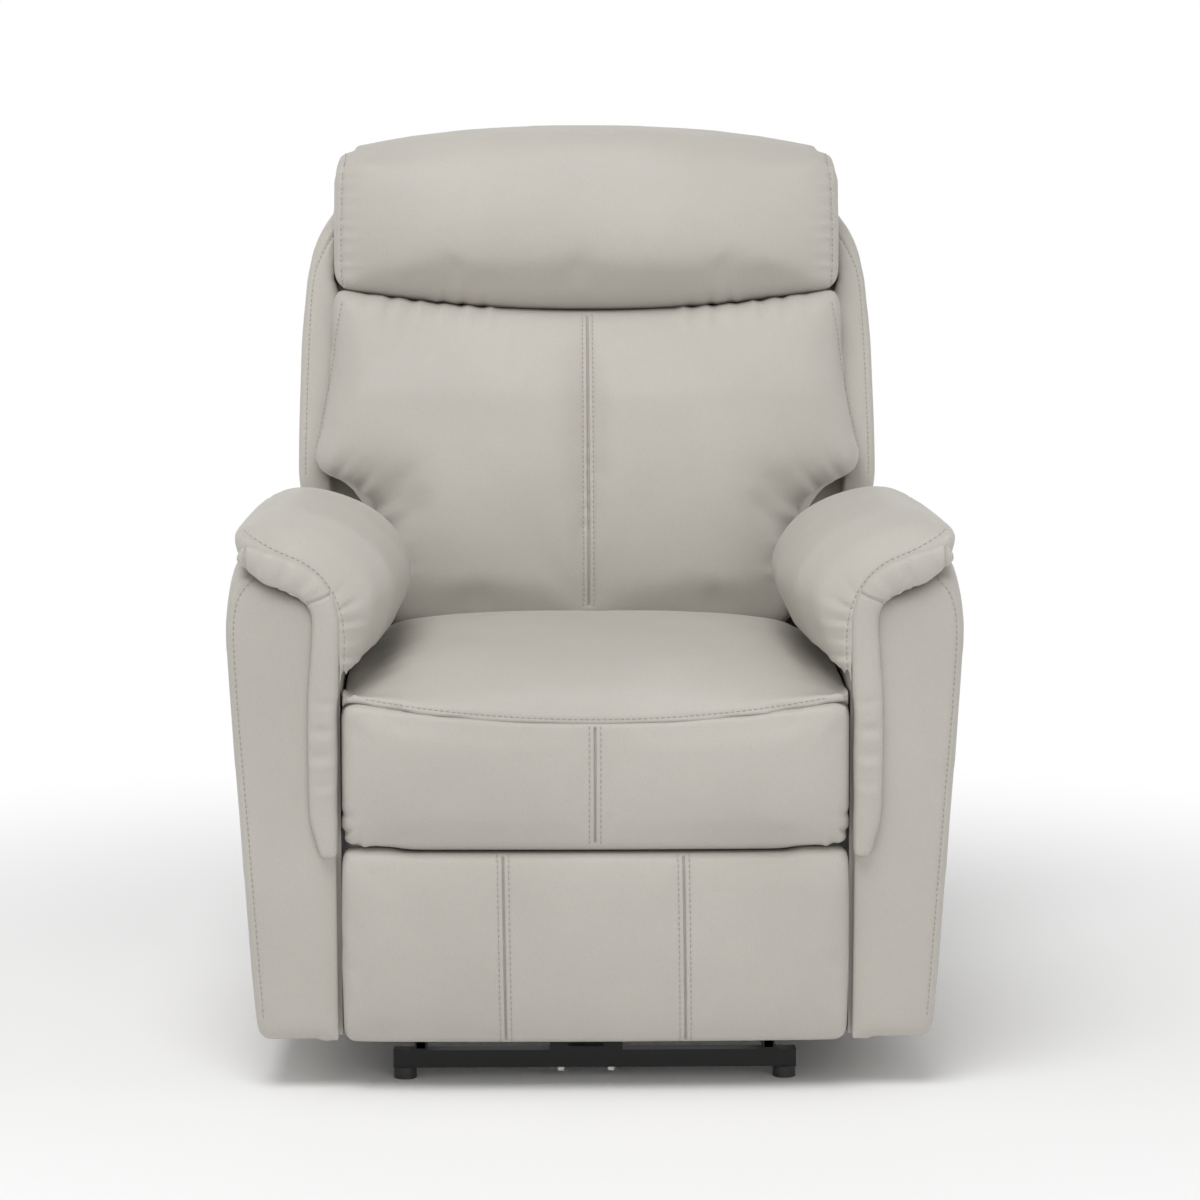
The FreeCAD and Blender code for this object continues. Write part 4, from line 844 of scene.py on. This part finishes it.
# Arm pads: a sloping top that swells into a lobe over the seat, sections by depth
armPad = {"front": 14, "rear": 503, "frontEdge": 9, "rearEdge": 26, "voxel": 6, "pressure": 3, "cap": 8,
          "relax": 3, "fill": 0.8}
padSections = {
    16: [(290, 541), (312, 546), (380, 586), (393, 606), (391, 627), (354, 603), (320, 588), (293, 564),
         (281, 535), (279.5, 500), (283, 452)],
    45: [(285, 546), (308, 552), (386, 598), (397, 612), (394, 630), (345, 627), (300, 608), (268, 580),
         (253, 550), (254, 516), (270, 474)],
    100: [(285, 546), (308, 552), (386, 598), (398, 612), (393, 631), (342, 640), (286, 624), (247, 594),
          (229, 556), (235, 520), (253, 489)],
    200: [(285, 546), (308, 552), (386, 598), (398, 612), (392, 631), (338, 644), (277, 628), (237, 597),
          (215, 557), (223, 520), (245, 495)],
    330: [(285, 546), (308, 552), (386, 598), (397, 612), (391, 630), (338, 642), (277, 627), (237, 597),
          (217, 557), (225, 520), (247, 495)],
    440: [(285, 546), (308, 552), (385, 598), (396, 611), (389, 628), (340, 634), (285, 618), (247, 590),
          (229, 555), (235, 522), (252, 498)],
    500: [(287, 547), (308, 552), (380, 597), (390, 608), (383, 621), (340, 622), (297, 606), (268, 582),
          (252, 553), (254, 527), (264, 506)],
}
padSeam = [(386, 628), (355, 609), (320, 593), (298, 574), (283, 548), (277, 515), (278, 470)]
padFolds = [(296, 570), (272, 545), (270, 500), (276, 462)]


def padSection(y):
    depths = sorted(padSections)
    table = np.array([padSections[d] for d in depths], float)
    return [(np.interp(y, depths, table[:, i, 0]), np.interp(y, depths, table[:, i, 1]))
            for i in range(table.shape[1])]


def padFree(p):
    return (ease(p[:, 1] - 18, 40) * ease(490 - p[:, 1], 30) * ease(p[:, 2] - 505, 40)
            * ease(392 - p[:, 0], 20))


padRight = loftPiece("armPadRight", "y", armPad["front"], armPad["rear"], armPad["frontEdge"],
                     armPad["rearEdge"], padSection, step=12, count=90)
softForm(padRight, armPad, padFree)
ruffle(padRight, padFolds, height=0.9, wave=19, reach=15)
topStitch("base", padRight, padSeam, dip=1.0)
padLeft = mirrorPiece(padRight, "armPadLeft")
print("arm pads", len(padRight.data.polygons), "faces each")

# Sewn band round the front of each arm
band = {"front": 7, "rear": 23, "points": 70, "voxel": 4, "relax": 4, "fill": 0.6}
bandPath = [(391, 607), (376, 598), (355, 587), (323, 574), (305, 556), (297, 530), (299, 480), (301.5, 430),
            (301.5, 370), (301, 314), (295, 266)]
bandHalf = [11, 19, 17, 15, 16, 17, 17, 17.5, 17, 16, 10]       # half its width at each point


def bandPiece(name):
    line = smoothLine(bandPath, band["points"])
    widths = np.interp(np.linspace(0, 1, band["points"]), np.linspace(0, 1, len(bandHalf)), bandHalf)
    ahead = np.gradient(line, axis=0)
    side = np.stack([ahead[:, 1], -ahead[:, 0]], 1)
    side /= np.linalg.norm(side, axis=1, keepdims=True)
    shape = [(-1, band["rear"]), (-1, 17), (-0.9, 12), (-0.6, 8.5), (0, band["front"]), (0.6, 8.5), (0.9, 12),
             (1, 17), (1, band["rear"])]
    points = []
    for middle, across, half in zip(line, side, widths):
        for share, y in shape:
            spot = middle + across * share * half
            points.append((spot[0], y, spot[1]))
    count = len(shape)
    faces = ringFaces(len(line), count)
    faces.append(tuple(range(count)))
    faces.append(tuple(range((len(line) - 1) * count, len(line) * count)))
    return newPiece(name, points, faces)


bands = bandPiece("armBandRight")
softForm(bands, band)
ruffle(bands, [(386, 604), (355, 586), (323, 573), (305, 555)], height=1.0, wave=27, reach=14)
ruffle(bands, [(296, 462), (304, 400), (298, 320)], height=0.9, wave=30, reach=13, facing=-0.6)
plainSeam(bands, [(282, 565), (298, 557), (318, 550)])
plainSeam(bands, [(384, 625), (385, 600), (384, 582)])
bandLeft = mirrorPiece(bands, "armBandLeft")
work = bmesh.new()
work.from_mesh(bands.data)
work.from_mesh(bandLeft.data)
work.to_mesh(bands.data)
work.free()
bpy.data.objects.remove(bandLeft)
bands.name = "armFrontBands"
print("arm bands", len(bands.data.polygons), "faces")

# Cloth at the back, under the padding
lowPanel = {"half": 261, "low": 341, "high": 556, "thick": 3, "behind": 40, "belly": 10, "rows": 24,
            "columns": 40, "fill": 0.2}
rows, columns = lowPanel["rows"], lowPanel["columns"]
panelPoints, panelFaces = [], []
for i in range(rows):
    for j in range(columns):
        z = lowPanel["low"] + (lowPanel["high"] - lowPanel["low"]) * i / (rows - 1)
        x = lowPanel["half"] * (2 * j / (columns - 1) - 1)
        bow = math.sin(math.pi * i / (rows - 1)) * math.cos(math.pi * x / lowPanel["half"] / 2)
        panelPoints.append((x, float(backLine(z)) + lowPanel["behind"] + lowPanel["belly"] * bow, z))
for i in range(rows - 1):
    for j in range(columns - 1):
        a = i * columns + j
        panelFaces.append((a, a + columns, a + columns + 1, a + 1))
lowPiece = newPiece("backLowerPanel", panelPoints, panelFaces)
thicken = lowPiece.modifiers.new("thicken", "SOLIDIFY")
thicken.thickness = lowPanel["thick"] / 1000
settle(lowPiece)
lowPiece.data.materials.clear()
lowPiece.data.materials.append(finishes["black_cloth"])
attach(lowPiece, "back")
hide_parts("back_lower_panel")
print("lower back panel done")

finishSoft(headPiece, "back", ["headrest_cushion"])
finishSoft(backPiece, "back", ["back_cushion", "lumbar_cushion"])
finishSoft(wingRight, "back", ["back_wing_right"])
finishSoft(wingLeft, "back", ["back_wing_left"])
finishSoft(shellPiece, "back", ["back_shell"])
finishSoft(seatPiece, "seat", ["seat_cushion"])
finishSoft(nosePiece, "seat", ["seat_front_panel"])
finishSoft(footPiece, "footrest", ["footrest_pad"])
finishSoft(armRight, "base", ["arm_panel_right"])
finishSoft(armLeft, "base", ["arm_panel_left"])
finishSoft(padRight, "base", ["arm_pad_right"])
finishSoft(padLeft, "base", ["arm_pad_left"])
finishSoft(bands, "base", ["arm_gussets"])

# Stitches, one mesh for each body
for line, piece in ((armEdge, armLeft), (padSeam, padLeft)):
    stitchRow("base", piece, sided(line, -1))
stitchSettings = {"Stitch length": 0.0046, "Stitch spacing": 0.0064, "Thread thickness": 0.0011}


def stitchTree():
    tree = bpy.data.node_groups.new("sewnRows", "GeometryNodeTree")
    tree.interface.new_socket("Geometry", in_out="INPUT", socket_type="NodeSocketGeometry")
    for name in stitchSettings:
        tree.interface.new_socket(name, in_out="INPUT", socket_type="NodeSocketFloat")
    tree.interface.new_socket("Geometry", in_out="OUTPUT", socket_type="NodeSocketGeometry")
    nodes, links = tree.nodes, tree.links
    given, result = nodes.new("NodeGroupInput"), nodes.new("NodeGroupOutput")
    curve = nodes.new("GeometryNodeMeshToCurve")
    even = nodes.new("GeometryNodeResampleCurve")
    even.mode = "LENGTH"
    tangent = nodes.new("GeometryNodeInputTangent")
    turn = nodes.new("FunctionNodeAlignRotationToVector")
    turn.axis = "X"
    loop = nodes.new("GeometryNodeMeshUVSphere")
    loop.inputs["Segments"].default_value = 6
    loop.inputs["Rings"].default_value = 4
    loop.inputs["Radius"].default_value = 0.5
    size = nodes.new("ShaderNodeCombineXYZ")
    put = nodes.new("GeometryNodeInstanceOnPoints")
    real = nodes.new("GeometryNodeRealizeInstances")
    paint = nodes.new("GeometryNodeSetMaterial")
    paint.inputs["Material"].default_value = thread
    links.new(given.outputs["Geometry"], curve.inputs["Mesh"])
    links.new(curve.outputs["Curve"], even.inputs["Curve"])
    links.new(given.outputs["Stitch spacing"], even.inputs["Length"])
    links.new(tangent.outputs["Tangent"], turn.inputs["Vector"])
    links.new(given.outputs["Stitch length"], size.inputs["X"])
    links.new(given.outputs["Thread thickness"], size.inputs["Y"])
    links.new(given.outputs["Thread thickness"], size.inputs["Z"])
    links.new(even.outputs["Curve"], put.inputs["Points"])
    links.new(loop.outputs["Mesh"], put.inputs["Instance"])
    links.new(turn.outputs["Rotation"], put.inputs["Rotation"])
    links.new(size.outputs["Vector"], put.inputs["Scale"])
    links.new(put.outputs["Instances"], real.inputs["Geometry"])
    links.new(real.outputs["Geometry"], paint.inputs["Geometry"])
    links.new(paint.outputs["Geometry"], result.inputs["Geometry"])
    return tree


sewn = stitchTree()
for body, lines in stitchRows.items():
    verts, edges = [], []
    for line in lines:
        edges += [(len(verts) + i, len(verts) + i + 1) for i in range(len(line) - 1)]
        verts += [tuple(p) for p in line]
    mesh = bpy.data.meshes.new("stitches_" + body)
    mesh.from_pydata(verts, edges, [])
    rowPiece = bpy.data.objects.new("stitches_" + body, mesh)
    scene.collection.objects.link(rowPiece)
    mod = rowPiece.modifiers.new("sewn", "NODES")
    mod.node_group = sewn
    for item in sewn.interface.items_tree:
        if item.in_out == "INPUT" and item.name in stitchSettings:
            mod[item.identifier] = stitchSettings[item.name]
    settle(rowPiece)
    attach(rowPiece, body)
    print("stitches on", body, len(rowPiece.data.polygons), "faces")

# Floor, backdrop and soft light
stage = {"half": 8, "tone": 0.96, "rough": 0.7, "fadeFrom": 0.7, "fadeTo": 1.9, "sky": 0.42}
lamps = {
    "keyLamp": {"place": (-0.8, -2.6, 5.6), "target": (0, 0, 0.5), "size": 3.6, "power": 178},
    "fillLamp": {"place": (1.2, -4.2, 1.3), "target": (0, 0, 0.5), "size": 2.4, "power": 20},
    "sideLamp": {"place": (-3.2, -0.6, 1.6), "target": (0, 0, 0.6), "size": 2.0, "power": 10},
    "sideLampRight": {"place": (3.2, -0.6, 1.6), "target": (0, 0, 0.6), "size": 2.0, "power": 10},
}
floorMesh = bpy.data.meshes.new("studioFloor")
floorCorners = [(x * stage["half"], y * stage["half"], 0) for x, y in ((-1, -1), (1, -1), (1, 1), (-1, 1))]
floorMesh.from_pydata(floorCorners, [], [(0, 1, 2, 3)])
studioFloor = bpy.data.objects.new("studioFloor", floorMesh)
scene.collection.objects.link(studioFloor)
floorFinish, floorNodes, floorLinks, floorShader = newFinish("paleFloor")
floorShader.inputs["Base Color"].default_value = (stage["tone"], stage["tone"], stage["tone"], 1)
floorShader.inputs["Roughness"].default_value = stage["rough"]
floorCoords = floorNodes.new("ShaderNodeTexCoord")
floorAway = addNode(floorNodes, "ShaderNodeVectorMath", operation="LENGTH")
floorFade = addNode(floorNodes, "ShaderNodeMapRange", From_Min=stage["fadeFrom"], From_Max=stage["fadeTo"],
                    interpolation_type="SMOOTHSTEP")
floorGlow = addNode(floorNodes, "ShaderNodeEmission", Strength=1.0)
floorMix = floorNodes.new("ShaderNodeMixShader")
floorLinks.new(floorCoords.outputs["Object"], floorAway.inputs[0])
floorLinks.new(floorAway.outputs["Value"], floorFade.inputs["Value"])
floorLinks.new(floorFade.outputs["Result"], floorMix.inputs[0])
floorLinks.new(floorShader.outputs["BSDF"], floorMix.inputs[1])
floorLinks.new(floorGlow.outputs["Emission"], floorMix.inputs[2])
floorLinks.new(floorMix.outputs["Shader"], floorNodes["Material Output"].inputs["Surface"])
floorMesh.materials.append(floorFinish)

for name, settings in lamps.items():
    lamp = bpy.data.objects.new(name, bpy.data.lights.new(name, "AREA"))
    lamp.data.shape = "DISK"
    lamp.data.size = settings["size"]
    lamp.data.energy = settings["power"]
    lamp.location = settings["place"]
    aim = Vector(settings["target"]) - Vector(settings["place"])
    lamp.rotation_euler = aim.to_track_quat("-Z", "Y").to_euler()
    scene.collection.objects.link(lamp)

# White where the camera, gloss or glass sees the sky, softer where it lights
sky = bpy.data.worlds.new("studioSky")
scene.world = sky
sky.use_nodes = True
skyNodes, skyLinks = sky.node_tree.nodes, sky.node_tree.links
background = skyNodes["Background"]
background.inputs["Color"].default_value = (1, 1, 1, 1)
rays = skyNodes.new("ShaderNodeLightPath")
pick = addNode(skyNodes, "ShaderNodeMapRange", To_Min=stage["sky"], To_Max=1.0)
seen = addNode(skyNodes, "ShaderNodeMath", operation="MAXIMUM")
through = addNode(skyNodes, "ShaderNodeMath", operation="MAXIMUM")
skyLinks.new(rays.outputs["Is Camera Ray"], seen.inputs[0])
skyLinks.new(rays.outputs["Is Glossy Ray"], seen.inputs[1])
skyLinks.new(seen.outputs["Value"], through.inputs[0])
skyLinks.new(rays.outputs["Is Transmission Ray"], through.inputs[1])
skyLinks.new(through.outputs["Value"], pick.inputs["Value"])
skyLinks.new(pick.outputs["Result"], background.inputs["Strength"])
scene.view_settings.view_transform = "Standard"
print("stage and light set")
